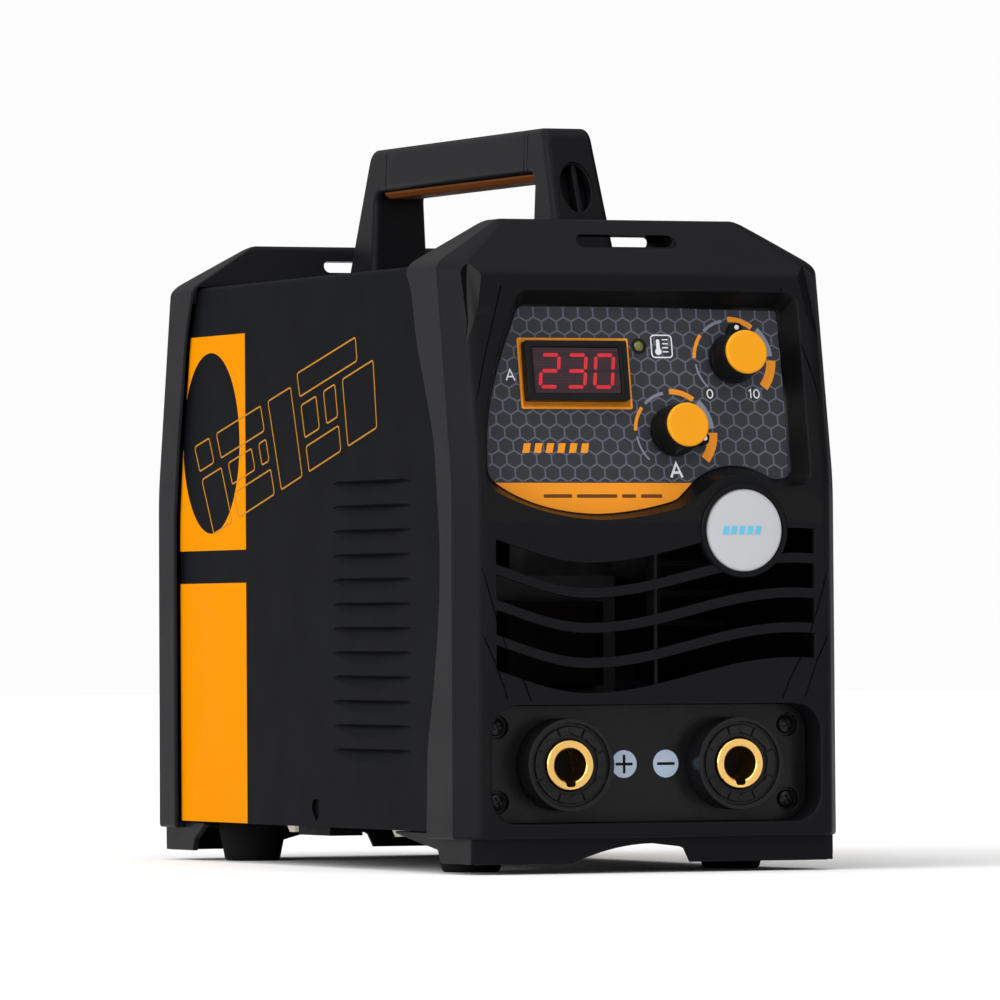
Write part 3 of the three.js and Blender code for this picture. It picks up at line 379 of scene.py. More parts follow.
def noise(tree, scale, detail=3.0):
    place = tree.nodes.new("ShaderNodeTexCoord").outputs["Object"]
    return fill(tree, tree.nodes.new("ShaderNodeTexNoise"), {
        "Vector": place, "Scale": scale, "Detail": detail, "Roughness": 0.55}).outputs["Fac"]


def ramp(tree, value, stops):
    """A ramp between two colours, or between two grey levels, given as (position, colour)."""
    node = fill(tree, tree.nodes.new("ShaderNodeValToRGB"), {"Fac": value})
    for element, (position, colour) in zip(node.color_ramp.elements, stops):
        element.position = position
        element.color = (*(colour if isinstance(colour, tuple) else (colour,) * 3), 1)
    return node.outputs["Color"]


def linear(colour):
    return tuple((c / 255 / 12.92) if c <= 10 else (((c / 255) + 0.055) / 1.055) ** 2.4 for c in colour)


def surface(name, colour, roughness, metallic=0.0, specular=0.5, spread=0.12, grain=900.0, grain_height=3e-5,
            rough_spread=0.08, coat=0.0):
    """A finish with a fine grain, a slow drift of tone and a slow drift of gloss."""
    material, tree, shader = new_material(name)
    base = linear(colour)
    dark = tuple(c * (1 - spread) for c in base)
    light = tuple(min(1.0, c * (1 + spread)) for c in base)
    gloss = ramp(tree, noise(tree, 40.0, 3.0), [
        (0.35, max(0.02, roughness - rough_spread)), (0.65, min(1.0, roughness + rough_spread))])
    tone = ramp(tree, noise(tree, 14.0, 4.0), [(0.3, dark), (0.7, light)])
    fill(tree, shader, {"Base Color": tone, "Roughness": gloss, "Metallic": metallic,
                        "Specular IOR Level": specular, "Coat Weight": coat})
    if grain_height:
        relief = fill(tree, tree.nodes.new("ShaderNodeBump"), {
            "Height": noise(tree, grain, 2.0), "Strength": 1.0, "Distance": grain_height})
        fill(tree, shader, {"Normal": relief.outputs["Normal"]})
    return material


MOULDED = surface("moulded_black", (17, 17, 20), 0.42, specular=0.065, grain=1400, grain_height=3e-5,
                  spread=0.03,
                  rough_spread=0.02)
# Painted shade: a darker black for the walls of the panel pocket, which lie in shade.
POCKET_SHADE = surface("pocket_painted_shade", (11, 11, 12), 0.3, specular=0.12, grain_height=0, spread=0.03,
                   rough_spread=0.02)
SHEET = surface("powder_coat", (10, 11, 15), 0.46, specular=0.015, grain=700, grain_height=1.0e-5,
                spread=0.03,
                rough_spread=0.02)
ORANGE_FILM = surface("orange_film", (204, 124, 0), 0.5, specular=0.006, grain=500, grain_height=4e-6,
                      spread=0.02)
# Painted shade: the handle's orange insert faces the floor and lies in shade, so its orange is painted a dark
# brown.
GRIP_ORANGE_SHADE = surface("orange_grip_painted_shade", (112, 62, 24), 0.55, specular=0.05, grain=1200, grain_height=1.5e-5,
                      spread=0.05)
ORANGE_CAP = surface("orange_moulding", (222, 146, 20), 0.45, specular=0.12, grain=1200,
                     grain_height=1.5e-5,
                     spread=0.03)
PRINT_GREY = surface("print_grey", (120, 126, 142), 0.5, specular=0.2, grain_height=0, spread=0.05)
PRINT_WHITE = surface("print_white", (215, 217, 222), 0.5, specular=0.2, grain_height=0, spread=0.03)
PRINT_ORANGE = surface("print_orange", (226, 140, 28), 0.5, specular=0.2, grain_height=0, spread=0.03)
STRIP_BROWN = surface("strip_brown", (96, 60, 24), 0.5, specular=0.1, grain_height=0, spread=0.05)
PALE_BLUE = surface("badge_blue", (96, 176, 206), 0.45, specular=0.2, grain_height=0, spread=0.04)
LINE_GOLD = surface("line_gold", (164, 112, 26), 0.5, specular=0.05, grain_height=0, spread=0.04)
LINE_GREY = surface("line_grey", (86, 90, 102), 0.5, specular=0.2, grain_height=0, spread=0.1)
FILM = surface("panel_film", (46, 47, 52), 0.42, specular=0.2, grain=600, grain_height=6e-6, spread=0.06)
BEZEL_BLACK = surface("bezel_black", (22, 22, 24), 0.4, specular=0.1, grain_height=6e-6)
KNOB_BLACK = surface("knob_black", (14, 14, 15), 0.4, specular=0.08, grain=900, grain_height=1.5e-5)
SOCKET_BLACK = surface("socket_black", (20, 20, 22), 0.28, specular=0.16, grain=900, grain_height=1.2e-5)
BADGE_WHITE = surface("badge_white", (178, 180, 184), 0.4, specular=0.2, grain=300, grain_height=4e-6,
                      spread=0.02, coat=0.2)
BRASS = surface("brass", (236, 190, 108), 0.24, metallic=1.0, spread=0.08, grain=260, grain_height=6e-6)
TRAY_BLACK = surface("tray_black", (13, 13, 14), 0.5, specular=0.03, grain=500, grain_height=1e-5,
                     spread=0.05)
STEEL_DARK = surface("steel_dark", (30, 29, 28), 0.4, metallic=0.6, spread=0.2, grain_height=1e-5)
ZINC = surface("zinc", (188, 184, 172), 0.34, metallic=1.0, spread=0.12, grain_height=8e-6)
RUBBER = surface("rubber", (17, 17, 18), 0.82, specular=0.05, grain=500, grain_height=5e-5)
FAN_PLASTIC = surface("fan_plastic", (22, 22, 24), 0.45, specular=0.15, grain_height=2e-5)
BOARD = surface("board_green", (12, 34, 20), 0.5, specular=0.5, spread=0.25, grain=160, grain_height=2e-5)
ALUMINIUM = surface("aluminium", (176, 179, 182), 0.36, metallic=1.0, grain=120, grain_height=2e-5)
# Black anodised heatsinks, made this dark partly as painted shade of the inside seen through the grille.
ANODISED_SHADED = surface("black_anodised_and_shade", (16, 16, 18), 0.5, specular=0.15, grain=120, grain_height=2e-5)
FERRITE = surface("ferrite", (58, 58, 61), 0.7, grain=900, grain_height=6e-5, spread=0.2)
COPPER = surface("copper", (150, 84, 50), 0.35, metallic=1.0, grain=300, grain_height=2e-5)
# Painted shade: the transformer winding and output choke are near-black brown instead of copper, so the
# inside seen through the grille reads as in shade.
WINDING_SHADE = surface("winding_painted_shade", (20, 13, 10), 0.5, specular=0.05, grain=300, grain_height=6e-5,
                    spread=0.2)
SLEEVE = surface("sleeve", (32, 38, 52), 0.36, specular=0.5, grain_height=6e-6)


def display_glass():
    """Dark red filter with a faint square mesh, as an unlit display shows."""
    material, tree, shader = new_material("display_glass")
    mesh = tree.nodes.new("ShaderNodeTexVoronoi")
    mesh.feature = "DISTANCE_TO_EDGE"
    fill(tree, mesh, {"Scale": 900, "Randomness": 0.0,
                      "Vector": tree.nodes.new("ShaderNodeTexCoord").outputs["Object"]})
    colour = ramp(tree, mesh.outputs["Distance"], [(0.0, linear((44, 34, 38))), (0.35, linear((66, 44, 50)))])
    gloss = ramp(tree, noise(tree, 60), [(0.3, 0.16), (0.7, 0.24)])
    fill(tree, shader, {"Base Color": colour, "Roughness": gloss, "Specular IOR Level": 0.14})
    return material


def lit_segment():
    material, tree, shader = new_material("lit_segment")
    glow = ramp(tree, noise(tree, 900), [(0.3, linear((160, 10, 24))), (0.7, linear((178, 14, 30)))])
    fill(tree, shader, {"Base Color": glow, "Emission Color": glow, "Emission Strength": 0.42,
                        "Roughness": 0.4})
    return material


def lamp_lens():
    material, tree, shader = new_material("lamp_lens")
    tint = ramp(tree, noise(tree, 500), [(0.3, linear((70, 72, 12))), (0.7, linear((112, 112, 26)))])
    fill(tree, shader, {"Base Color": tint, "Roughness": 0.2, "Coat Weight": 0.5})
    return material


DISPLAY_GLASS, LIT_SEGMENT, LAMP_LENS = display_glass(), lit_segment(), lamp_lens()


# ---------- cap form ----------
def line_at(x, x0, x1, y0, y1):
    return y0 + (y1 - y0) * (x - x0) / (x1 - x0)


def lean_at(z):
    return max(0.0, z - LEAN_Z) * math.tan(LEAN)


def face_at(z):
    return lean_at(z) if z <= BROW_Z else line_at(z, BROW_Z, CAP_TOP, lean_at(BROW_Z), TOP_SETBACK)


def half_at(z):
    if z <= SHOULDER_Z:
        return line_at(z, CAP_BOTTOM, SHOULDER_Z, CAP_HALF, SHOULDER_HALF)
    return line_at(z, SHOULDER_Z, CAP_TOP, SHOULDER_HALF, TOP_HALF)


def edge_at(z, corner):
    if z <= SHOULDER_Z:
        return corner + lean_at(z)
    return line_at(z, SHOULDER_Z, CAP_TOP, corner + lean_at(SHOULDER_Z), TOP_SETBACK)


def corner_at(z):
    return line_at(max(z, SHOULDER_Z), SHOULDER_Z, CAP_TOP, CORNER_INSET, CORNER_INSET / 2)


def through(table, z):
    """Straight lines between the (y, z) points of a table, by z."""
    rows = sorted(table, key=lambda row: row[1])
    if z <= rows[0][1]:
        return rows[0][0]
    for (y0, z0), (y1, z1) in zip(rows, rows[1:]):
        if z <= z1:
            return line_at(z, z0, z1, y0, y1)
    return rows[-1][0]


FRONT_FLANGE = [(39.6, 13), (37.9, 50), (32.8, 67), (27.7, 91), (25.2, 110), (25.1, 129), (30.6, 168),
                (37.5, 184), (48.4, 207), (53.4, 227), (58.2, 233), (58.2, 238), (51, 254.4)]
REAR_FLANGE = [(27.6, 13), (27.6, 139), (29.9, 157), (32.7, 175), (36.8, 193), (41, 215), (46, 227),
               (49, 234), (49, 238), (42, 254.4)]


def smooth(fn, z, reach):
    """fn averaged over a short stretch round z, which eases its corners."""
    reach = max(0.0, min(reach, z - CAP_BOTTOM, CAP_TOP - z))
    return sum(fn(z + reach * (k / 4 - 1)) for k in range(9)) / 9


def cap_ring(z, inset, flange):
    depth = CORNER_DEPTH[flange is REAR_FLANGE]
    half = smooth(half_at, z, 2.5)
    face = smooth(face_at, z, 7.0 if z < 200 else 1.2)
    edge = smooth(lambda h: edge_at(h, depth), z, 7.0 if z < 200 else 2.0)
    corner = smooth(corner_at, z, 2.0)
    back = smooth(lambda h: through(flange, h), z, 5.0 if z < 222 else 1.0)
    points = [(-half, back), (-half, edge), (corner - half, face),
              (half - corner, face), (half, edge), (half, back)]
    ring = offset(fillet(points, [1.2, 2.0, 5.5, 5.5, 2.0, 1.2], 4), -inset)
    return [(x, y, z) for x, y in ring]


def cap_hull(name, flange):
    """The outer form of a cap: sparse rings up its plain wall and close ones over its shoulders."""
    ease_low, ease_top = 1.4, 1.8
    wall, wall_step, shoulder, shoulder_step = CAP_BOTTOM + 6, 4.0, 225.0, 0.9
    heights = [wall + wall_step * k for k in range(math.ceil((224 - wall) / wall_step))]
    heights += [shoulder + shoulder_step * k
                for k in range(math.ceil((CAP_TOP - ease_top - 0.5 - shoulder) / shoulder_step))]
    stations = rim(CAP_BOTTOM, ease_low, 4) + [(z, 0) for z in heights] + rim(CAP_TOP, ease_top, 4, -1)[::-1]
    return loft(name, [cap_ring(z, inset, flange) for z, inset in stations])


def cap_hollow():
    far = 110.0
    rings = []
    for z in [CAP_BOTTOM + CAP_WALL, LEAN_Z, BROW_Z, SHOULDER_Z, HUMP_FLOOR]:
        half, corner = half_at(z) - CAP_WALL, corner_at(z)
        face, edge = face_at(z) + CAP_WALL, edge_at(z, CORNER_DEPTH[0]) + CAP_WALL
        rings.append([(x, y, z) for x, y in [(-half, far), (-half, edge), (corner - half, face),
                                             (half - corner, face), (half, edge), (half, far)]])
    return loft("hollow", rings)


def skirt(name, reach):
    half = CAP_HALF - SKIRT_INSET
    top = CAP_BOTTOM + CAP_WALL
    arch = [(-34.0, SKIRT_BOTTOM)] + bezier([(-34, SKIRT_BOTTOM), (-17, 11.2), (0, 11.3)], 12)[1:] + \
        [(12, 9.9), (13.4, 9.2), (16, SKIRT_BOTTOM)]
    outline = [(-half + 2.6, SKIRT_BOTTOM)] + arch + [(half - 2.6, SKIRT_BOTTOM), (half, SKIRT_BOTTOM + 2.6),
                                                   (half, top), (-half, top), (-half, SKIRT_BOTTOM + 2.6)]
    front = slab(name, outline, on_front, SKIRT_INSET, SKIRT_INSET + SKIRT_WALL, ease_near=0.7)
    near, low = SKIRT_INSET + 0.3, SKIRT_BOTTOM + 0.2
    side = fillet([(near, low), (36, low), (38, 9), (reach, top - 1), (reach, top), (near, top)],
                  [0, 0.6, 0.6, 0, 0, 0], 2)
    sides = [slab("side", side, across, a, b, 0.5, 0.5) for a, b in
             [(half - SKIRT_WALL, half), (-half, SKIRT_WALL - half)]]
    return union(front, *sides)


def strap_cutter():
    slot = rounded_rect(-20.5, 20.5, 243.5, 248.3, 2.39)
    return flared("strap", slot, on_front, 80, 0.7, near=-5, surface=29)


def cap_blank(name, flange, reach):
    blank = cut(cap_hull(name, flange), cap_hollow())
    return union(blank, skirt("skirt", reach))


# ---------- control panel outline ----------
def panel_outline(grow):
    left, right = PLATE["left"] - grow, PLATE["right"] + grow
    top, bottom, low = PLATE["top"] + grow, PLATE["bottom"] - grow, PLATE["low"] - grow
    bite, centre = BADGE_BITE - grow, BADGE_Z - LEAN_Z
    reach = math.sqrt(bite ** 2 - (bottom - centre) ** 2)
    bite_start = math.degrees(math.atan2(0.69, -0.72))
    bite_end = math.degrees(math.atan2(bottom - centre, reach))
    lip = 0.62
    top_left = (PLATE["top_left"] - grow * 0.4, top)
    curves = [
        [(BADGE_X + reach, bottom), (right, bottom)],
        [(right, bottom), (right, top)],
        [(right, top), top_left],
        bezier([top_left, (left + 8, top - 22), (left, bottom + 30), (left, bottom + 3)]),
        bezier([(left, bottom + 3), (left + 0.6, bottom + 0.4), (left + 2.3, bottom - 1.5)], 4) +
        bezier([(left + 2.3, bottom - 1.5), (-48, low + lip), (-22, low)], 12)[1:] +
        bezier([(-22, low), (-5, low + 0.4), (12, low + 5.5)], 10)[1:],
        [(12, low + 5.5), (BADGE_X - bite * 0.72, centre + bite * 0.69)],
        arc(BADGE_X, centre, bite, bite_start, bite_end, 20),
    ]
    wide, narrow = 4.6 + grow * 0.5, 2.4 + grow * 0.25
    return joined(curves, [wide, wide, narrow, 0.6, narrow, narrow, narrow])


def pocket_cutter(floor_depth):
    """The pocket's walls draw in from the face, with a rounded rim at the face."""
    draft, rim_width = 4.0, 1.0
    rings = []
    for depth, grow in [(-6, draft + rim_width), (0, draft + rim_width), (0.12, draft + rim_width * 0.62),
                        (0.38, draft + rim_width * 0.3), (0.8, draft), (PLATE_DEPTH - 0.6, 0.25),
                        (PLATE_DEPTH, 0.0), (floor_depth, 0.0)]:
        rings.append([on_panel(u, v, depth) for u, v in panel_outline(grow)])
    return loft("pocket", rings)


# ---------- grille ----------
def wave_at(x):
    half = GRILLE["left"] if x < GRILLE["low_x"] else GRILLE["right"]
    return GRILLE["top"] - GRILLE["swing"] * math.cos(math.pi * (x - GRILLE["low_x"]) / half)


def slot_outline(row, x0, x1):
    xs = [line_at(k, 0, 26, x0, x1) for k in range(27)]
    drop = row * GRILLE["pitch"]
    upper = [(x, wave_at(x) - drop) for x in xs]
    lower = [(x, wave_at(x) - drop - GRILLE["height"]) for x in reversed(xs)]
    return joined([upper, [upper[-1], lower[0]], lower, [lower[-1], upper[0]]], [0.5] * 4, 2)


def grille_cutters():
    cutters = []
    for row in range(4):
        for x0, x1 in [(-GRILLE["half"], -0.55), (0.55, GRILLE["half"])]:
            cutters.append(flared("slot", slot_outline(row, x0, x1), on_front, 12, 0.5))
        cutters.append(slab("set_back", slot_outline(row, -1.6, 1.6), on_front, -3, 1.3))
    return cutters


def groove(path, place):
    """A cutter for a fine moulded line along a path."""
    width = depth = 0.7
    return loft("groove", [[place(u, v, d) for u, v in stroke(path, w)]
                           for d, w in [(-1.0, width), (depth * 0.4, width), (depth, width * 0.4)]])


SEAMS = [
    [(-75.2, 144.2), (-74.9, 125), (-70, 107.4), (-68, 100.8), (-63.1, 86.6), (-55.7, 73.4), (-53.2, 66.9)],
    [(-76.8, 100.5), (-73.5, 93.2), (-68.1, 82), (-62.8, 67.7)],
]
PANEL_SEAM = [(-59.2, 76.5), (-60.4, 72.7), (-69.2, 45.1), (-75.2, 21.5), (-77.2, 4.0)]


def crease(side):
    """A folded hollow under the shoulder, with a steep outer wall and a shallow inner one."""
    sections = []
    for s, outer, valley, sunk, inner in [(53.5, -75.0, -74.8, 2.0, -74.5),
                                          (100.0, -75.9, -70.0, 4.6, -58.0)]:
        profile = [(outer, -4), (outer + 0.1, sunk - 1.5), (valley, sunk), (inner, -4)]
        sections.append([on_panel(side * -x, s, depth) for x, depth in profile])
    return loft("crease", sections)


def flange_lip(flange):
    """Hollows the flange's open edge so that a thin outer skin stands off the cover."""
    outer, inner = CAP_HALF - 1.3, COVER_HALF - 1.0
    pieces = []
    for side in (-1, 1):
        rings = []
        for k in range(46):
            z = line_at(k, 0, 45, CAP_BOTTOM + 2.4, 230.0)
            back = smooth(lambda h: through(flange, h), z, 5.0)
            rings.append([(side * x, y, z) for x, y in [
                (inner, back - 7), (outer - 0.4, back - 7), (outer, back + 4), (inner, back + 4)]])
        pieces.append(loft("lip", rings))
    return pieces


def within_hull(piece, flange):
    return boolean(piece, [cap_hull("hull", flange)], "INTERSECT")


def shade_pocket_walls(shell):
    """The walls of the panel pocket get painted shade: a darker, glossier black than the grained face."""
    shell.data.materials.append(POCKET_SHADE)
    for polygon in shell.data.polygons:
        x, y, z = polygon.center * 1000
        y -= SHIFT
        depth = y * math.cos(LEAN) - (z - LEAN_Z) * math.sin(LEAN)
        s = y * math.sin(LEAN) + (z - LEAN_Z) * math.cos(LEAN)
        inside = PLATE["left"] - 5 < x < PLATE["right"] + 5 and PLATE["low"] - 5 < s < PLATE["top"] + 5
        # Faces on the pocket walls take the second, darker material: painted shade.
        if inside and 0.7 < depth < PLATE_DEPTH + 2:
            polygon.material_index = 1


def front_cap():
    blank = cap_blank("cap_front", FRONT_FLANGE, 82.0)
    liner = within_hull(loft("liner", [[on_panel(u, v, d) for u, v in panel_outline(g)] for d, g in
                                       [(-3, 10.2), (9, 2.2), (12.8, 2.2)]]), FRONT_FLANGE)
    backings = []
    for side in (-1, 1):
        block = [(side * 79.5, 50), (side * 56, 50), (side * 56, 98), (side * 79.5, 98)]
        backings.append(within_hull(slab("backing", block, on_panel, 1.0, 13.5), FRONT_FLANGE))
    recess_out = rounded_rect(-71.6, 71.6, 17.2, 67.3, 13.2)
    shell = union(blank, liner, slab("liner_low", recess_out, on_front, 1.0, 19.4), *backings)
    boss = turned("boss", [(0, 3), (0, -1.2), (BADGE_R + 2.1, -1.2), (BADGE_R + 2.3, 3)], 0.6,
                  centre=BADGE_CENTRE)
    grille = grille_cutters()
    holes = cut(union(grille[0], *grille[1:]), drum(BADGE_R + 2.25, -9, 14, BADGE_CENTRE))
    recess = flared("recess", rounded_rect(-RECESS["half"], RECESS["half"], RECESS["bottom"], RECESS["top"],
                                           RECESS["radius"]), on_front, 17.3, 0.9)
    cut(shell, holes)
    union(shell, boss)
    rim_r, seat_r = BADGE_R + 0.5, BADGE_R + 0.2
    well = lathe("well", [(0, -4), (rim_r, -4), (seat_r, -0.6), (seat_r, 0.9), (0, 0.9)], BADGE_CENTRE)
    cut(shell, pocket_cutter(10.8), recess, strap_cutter(), well)
    seams = [groove(path, on_front) for path in SEAMS]
    seams += [groove([(-x, z) for x, z in path], on_front) for path in SEAMS]
    seams += [groove(PANEL_SEAM, on_panel), groove([(-x, s) for x, s in PANEL_SEAM], on_panel)]
    cut(shell, *seams, crease(-1), crease(1))
    settle(shell, MOULDED, "cap_plastic", "front_cap")
    return shade_pocket_walls(shell)


def rear_cap():
    blank = cap_blank("cap_rear", REAR_FLANGE, 49.0)
    liner = slab("liner", rounded_rect(-66.2, 66.2, 23.8, 218.2, 10.2), on_front, 2.0, 20.7)
    shell = union(blank, within_hull(liner, REAR_FLANGE))
    window = flared("window", rounded_rect(-64, 64, 26, 216, 8), on_front, 18.8, 1.2, near=-6)
    opening = slab("opening", rounded_rect(-58, 58, 32, 210, 4), on_front, -3, 60)
    cut(shell, window, opening, strap_cutter(), *flange_lip(REAR_FLANGE))
    return settle(mirror_ends(shell), MOULDED, "cap_plastic", "rear_cap")


front_cap()
rear_cap()


# ---------- cover, with pressed louvres and its films ----------
LOUVRE = {"front": 60.6, "rear": 142.6, "top": 152.9, "pitch": 9.63, "count": 12,
          "press": 2.4, "fall": 6.0, "slit": 0.9}
SHEET_GAUGE = 1.2


def louvre_hood(name, top, side):
    """The metal of one pressed louvre, behind the sheet: a wedge that is deepest at its slit."""
    return loft(name, [louvre_ring(t, side, [
        (0.7, top - LOUVRE["fall"] * swell - 1.0), (LOUVRE["press"] * swell + 0.9, top + 0.2),
        (LOUVRE["press"] * swell + 0.9, top + LOUVRE["slit"] + 0.8), (0.9, top + LOUVRE["slit"] + 0.8)])
        for t, swell in swells(0.3)])


def louvre_scoop(name, top, side):
    """What is pressed out of one louvre, with the dark slit along its upper edge."""
    return loft(name, [louvre_ring(t, side, [
        (-0.5, top + LOUVRE["slit"] * min(1, 4 * swell)), (-0.5, top - LOUVRE["fall"] * swell),
        (LOUVRE["press"] * swell, top), (LOUVRE["press"] * swell, top + LOUVRE["slit"] * min(1, 4 * swell))])
        for t, swell in swells(0.06)])


def swells(least):
    """How deep a louvre is at stations t along its length: full in the middle, least at its ends."""
    return [(k / 16, max(least, 1 - abs(2 * k / 16 - 1) ** 3.4)) for k in range(17)]


def louvre_ring(t, side, section):
    y = line_at(t, 0, 1, LOUVRE["front"], LOUVRE["rear"])
    return [(side * (COVER_HALF - w), y, z) for w, z in section]


def cover():
    corner = 3.0
    outer = fillet([(-COVER_HALF, COVER_BOTTOM), (-COVER_HALF, COVER_TOP), (COVER_HALF, COVER_TOP),
                    (COVER_HALF, COVER_BOTTOM)], [0, corner, corner, 0], 6)
    inner_half = COVER_HALF - SHEET_GAUGE
    inner = fillet([(inner_half, COVER_BOTTOM), (inner_half, COVER_TOP - SHEET_GAUGE),
                    (-inner_half, COVER_TOP - SHEET_GAUGE), (-inner_half, COVER_BOTTOM)],
                   [0, corner - SHEET_GAUGE, corner - SHEET_GAUGE, 0], 6)
    body = slab("cover_skin", outer + inner, on_front, 0.5, DEPTH - 0.5)
    lean_end = 20 + lean_at(238.5)
    ends = [(20, 0), (DEPTH - 20, 0), (DEPTH - 20, LEAN_Z),
            (DEPTH - lean_end, 239), (lean_end, 239), (20, LEAN_Z)]
    boolean(body, [slab("ends", ends, across, -90, 90)], "INTERSECT")
    tops = [LOUVRE["top"] - k * LOUVRE["pitch"] for k in range(LOUVRE["count"])]
    for side in (-1, 1):
        union(body, merge("hoods", [louvre_hood("hood", top, side) for top in tops]))
        cut(body, merge("scoops", [louvre_scoop("scoop", top, side) for top in tops]))
    key = fillet([(157.9, 23.4), (163.1, 17.9), (168.3, 23.4), (166.2, 27.2), (160.0, 27.2)],
                 [2, 0.8, 2, 2, 2], 4)
    cut(body, slab("key", key, across, -90, 90))
    return settle(body, SHEET, "cover_sheet", "cover_shell")


def flange_edge(z):
    return DEPTH - smooth(lambda h: through(REAR_FLANGE, h), z, 4.0)


def film(name, outline, side, hole=None):
    """A stuck film on one side of the cover."""
    obj = slab(name, outline, on_side(side), -0.12, 0.06)
    if hole:
        cut(obj, slab("hole", hole, on_side(side), -2, 2))
    return settle(obj, ORANGE_FILM, "orange_plastic")


def slanted(t0, t1, h0, h1):
    """Corners of a leaning bar of the side band: t runs along the band, h from its foot to its top."""
    corners = []
    for t, h in [(t0, h0), (t1, h0), (t1, h1), (t0, h1)]:
        lean = line_at(t, 0, 1, 22.0, 4.0)
        corners.append((line_at(t, 0, 1, 279.0, 88.0) + lean * h, line_at(t, 0, 1, 134.0, 176.0) + 36.0 * h))
    return corners


BAND = [(0.02, 0.13, 0.0, 0.62), (0.02, 0.1, 0.72, 1.0), (0.17, 0.38, 0.0, 0.28), (0.17, 0.3, 0.38, 0.62),
        (0.14, 0.38, 0.72, 1.0), (0.42, 0.54, 0.0, 1.0), (0.34, 0.38, 0.38, 0.62), (0.58, 0.76, 0.0, 0.28),
        (0.58, 0.66, 0.38, 0.74), (0.7, 0.76, 0.38, 0.74), (0.58, 0.88, 0.84, 1.1), (0.8, 0.96, 0.0, 0.74)]


def side_films(side):
    tag = "left" if side < 0 else "right"
    front, tuck = 239.0, 1.0
    zs = [line_at(k, 0, 12, 127.9, 216.1) for k in range(13)]
    upper = [(front, 127.9)] + [(flange_edge(z) + tuck, z) for z in zs] + [(front, 216.1)]
    film(f"film_upper_{tag}", upper, side, hole=ellipse(277.8, 172, 32.4, 37.2))
    rear = flange_edge(60) + tuck
    film(f"film_lower_{tag}", [(front, 16.4), (rear, 16.4), (rear, 114.4), (front, 114.4)], side)
    lines = []
    for index, bar in enumerate(BAND):
        outer, inner = stroke(fillet(slanted(*bar), 1.2, 2), 0.6, closed=True)
        line = slab(f"line_{index}", outer, on_side(side), -0.22, 0.02)
        lines.append(cut(line, slab("inner", inner, on_side(side), -2, 2)))
    settle(merge(f"side_lines_{tag}", lines), LINE_GOLD, "orange_plastic")


cover()
for flank in (-1, 1):
    side_films(flank)


# ---------- control panel ----------
HEX = {"x": -45.7, "s": 67.9, "pitch": 6.275, "row": 5.28, "line": 0.66}
STRIP_TOP = 0.6


def print_slab(name, outline, proud=0.05, hole=None):
    """Ink on the faceplate, with its own small thickness."""
    obj = slab(name, outline, on_panel, PLATE_DEPTH - proud, PLATE_DEPTH + 0.02)
    if hole:
        cut(obj, through_plate(hole))
    return obj


def print_loop(name, path, width):
    outer, inner = stroke(path, width, closed=True)
    return print_slab(name, outer, 0.06, inner)


def through_plate(outline):
    """A cutter that goes right through the faceplate and its inks."""
    return slab("through", outline, on_panel, PLATE_DEPTH - 2, PLATE_DEPTH + 2)


def honeycomb():
    half, tall = HEX["pitch"] / 2, HEX["row"] / 1.5
    cell = [(0, tall), (-half, tall / 2), (-half, -tall / 2), (0, -tall), (half, -tall / 2), (half, tall / 2)]
    cell = offset(cell, -HEX["line"] / 2)
    cells = []
    for row in range(-1, 15):
        for column in range(-5, 20):
            x = HEX["x"] + (column + (0.5 if row % 2 else 0)) * HEX["pitch"]
            s = HEX["s"] - row * HEX["row"]
            cells.append(through_plate([(x + u, s + v) for u, v in cell]))
    sheet = print_slab("honeycomb", panel_outline(-0.9), 0.045)
    cut(sheet, merge("cells", cells))
    low = [(-90, -40), (90, -40), (90, STRIP_TOP + 0.5), (-90, STRIP_TOP + 0.5)]
    cut(sheet, through_plate(low), through_plate(rounded_rect(-49, -6, 32, 56.4, 0.5)))
    return settle(sheet, LINE_GREY, "panel_film")


def dial_arcs(tag):
    cx, cs, _ = DIALS[tag]
    grey, orange = [], []
    for start, end, width, group in [(-136, -97, 0.7, grey), (-88, -52, 1.4, orange), (-44, -11, 1.2, grey),
                                     (-1, 37, 2.1, orange), (44, 85, 2.8, grey), (91, 130, 3.9, orange)]:
        inside = arc(cx, cs, 15.0, 90 - start, 90 - end, 10)
        outside = arc(cx, cs, 15.0 + width, 90 - end, 90 - start, 10)
        group.append(print_slab("arc", inside + outside, 0.07))
    settle(merge(f"{tag}_arcs_grey", grey), PRINT_GREY, "panel_film")
    settle(merge(f"{tag}_arcs_orange", orange), PRINT_ORANGE, "panel_film")


GLYPHS = {
    "A": [[(-0.42, -0.5), (0, 0.5), (0.42, -0.5)], [(-0.27, -0.16), (0.27, -0.16)]],
    "1": [[(-0.16, 0.3), (0.08, 0.5), (0.08, -0.5)]],
}


def glyph(kind, x, s, height, width):
    if kind == "0":
        return [print_loop("zero", ellipse(x, s, height * 0.32, height * 0.46, 28), width)]
    strokes = [stroke([(x + u * height, s + v * height) for u, v in path], width) for path in GLYPHS[kind]]
    return [print_slab("mark", outline, 0.06 + 0.01 * k) for k, outline in enumerate(strokes)]


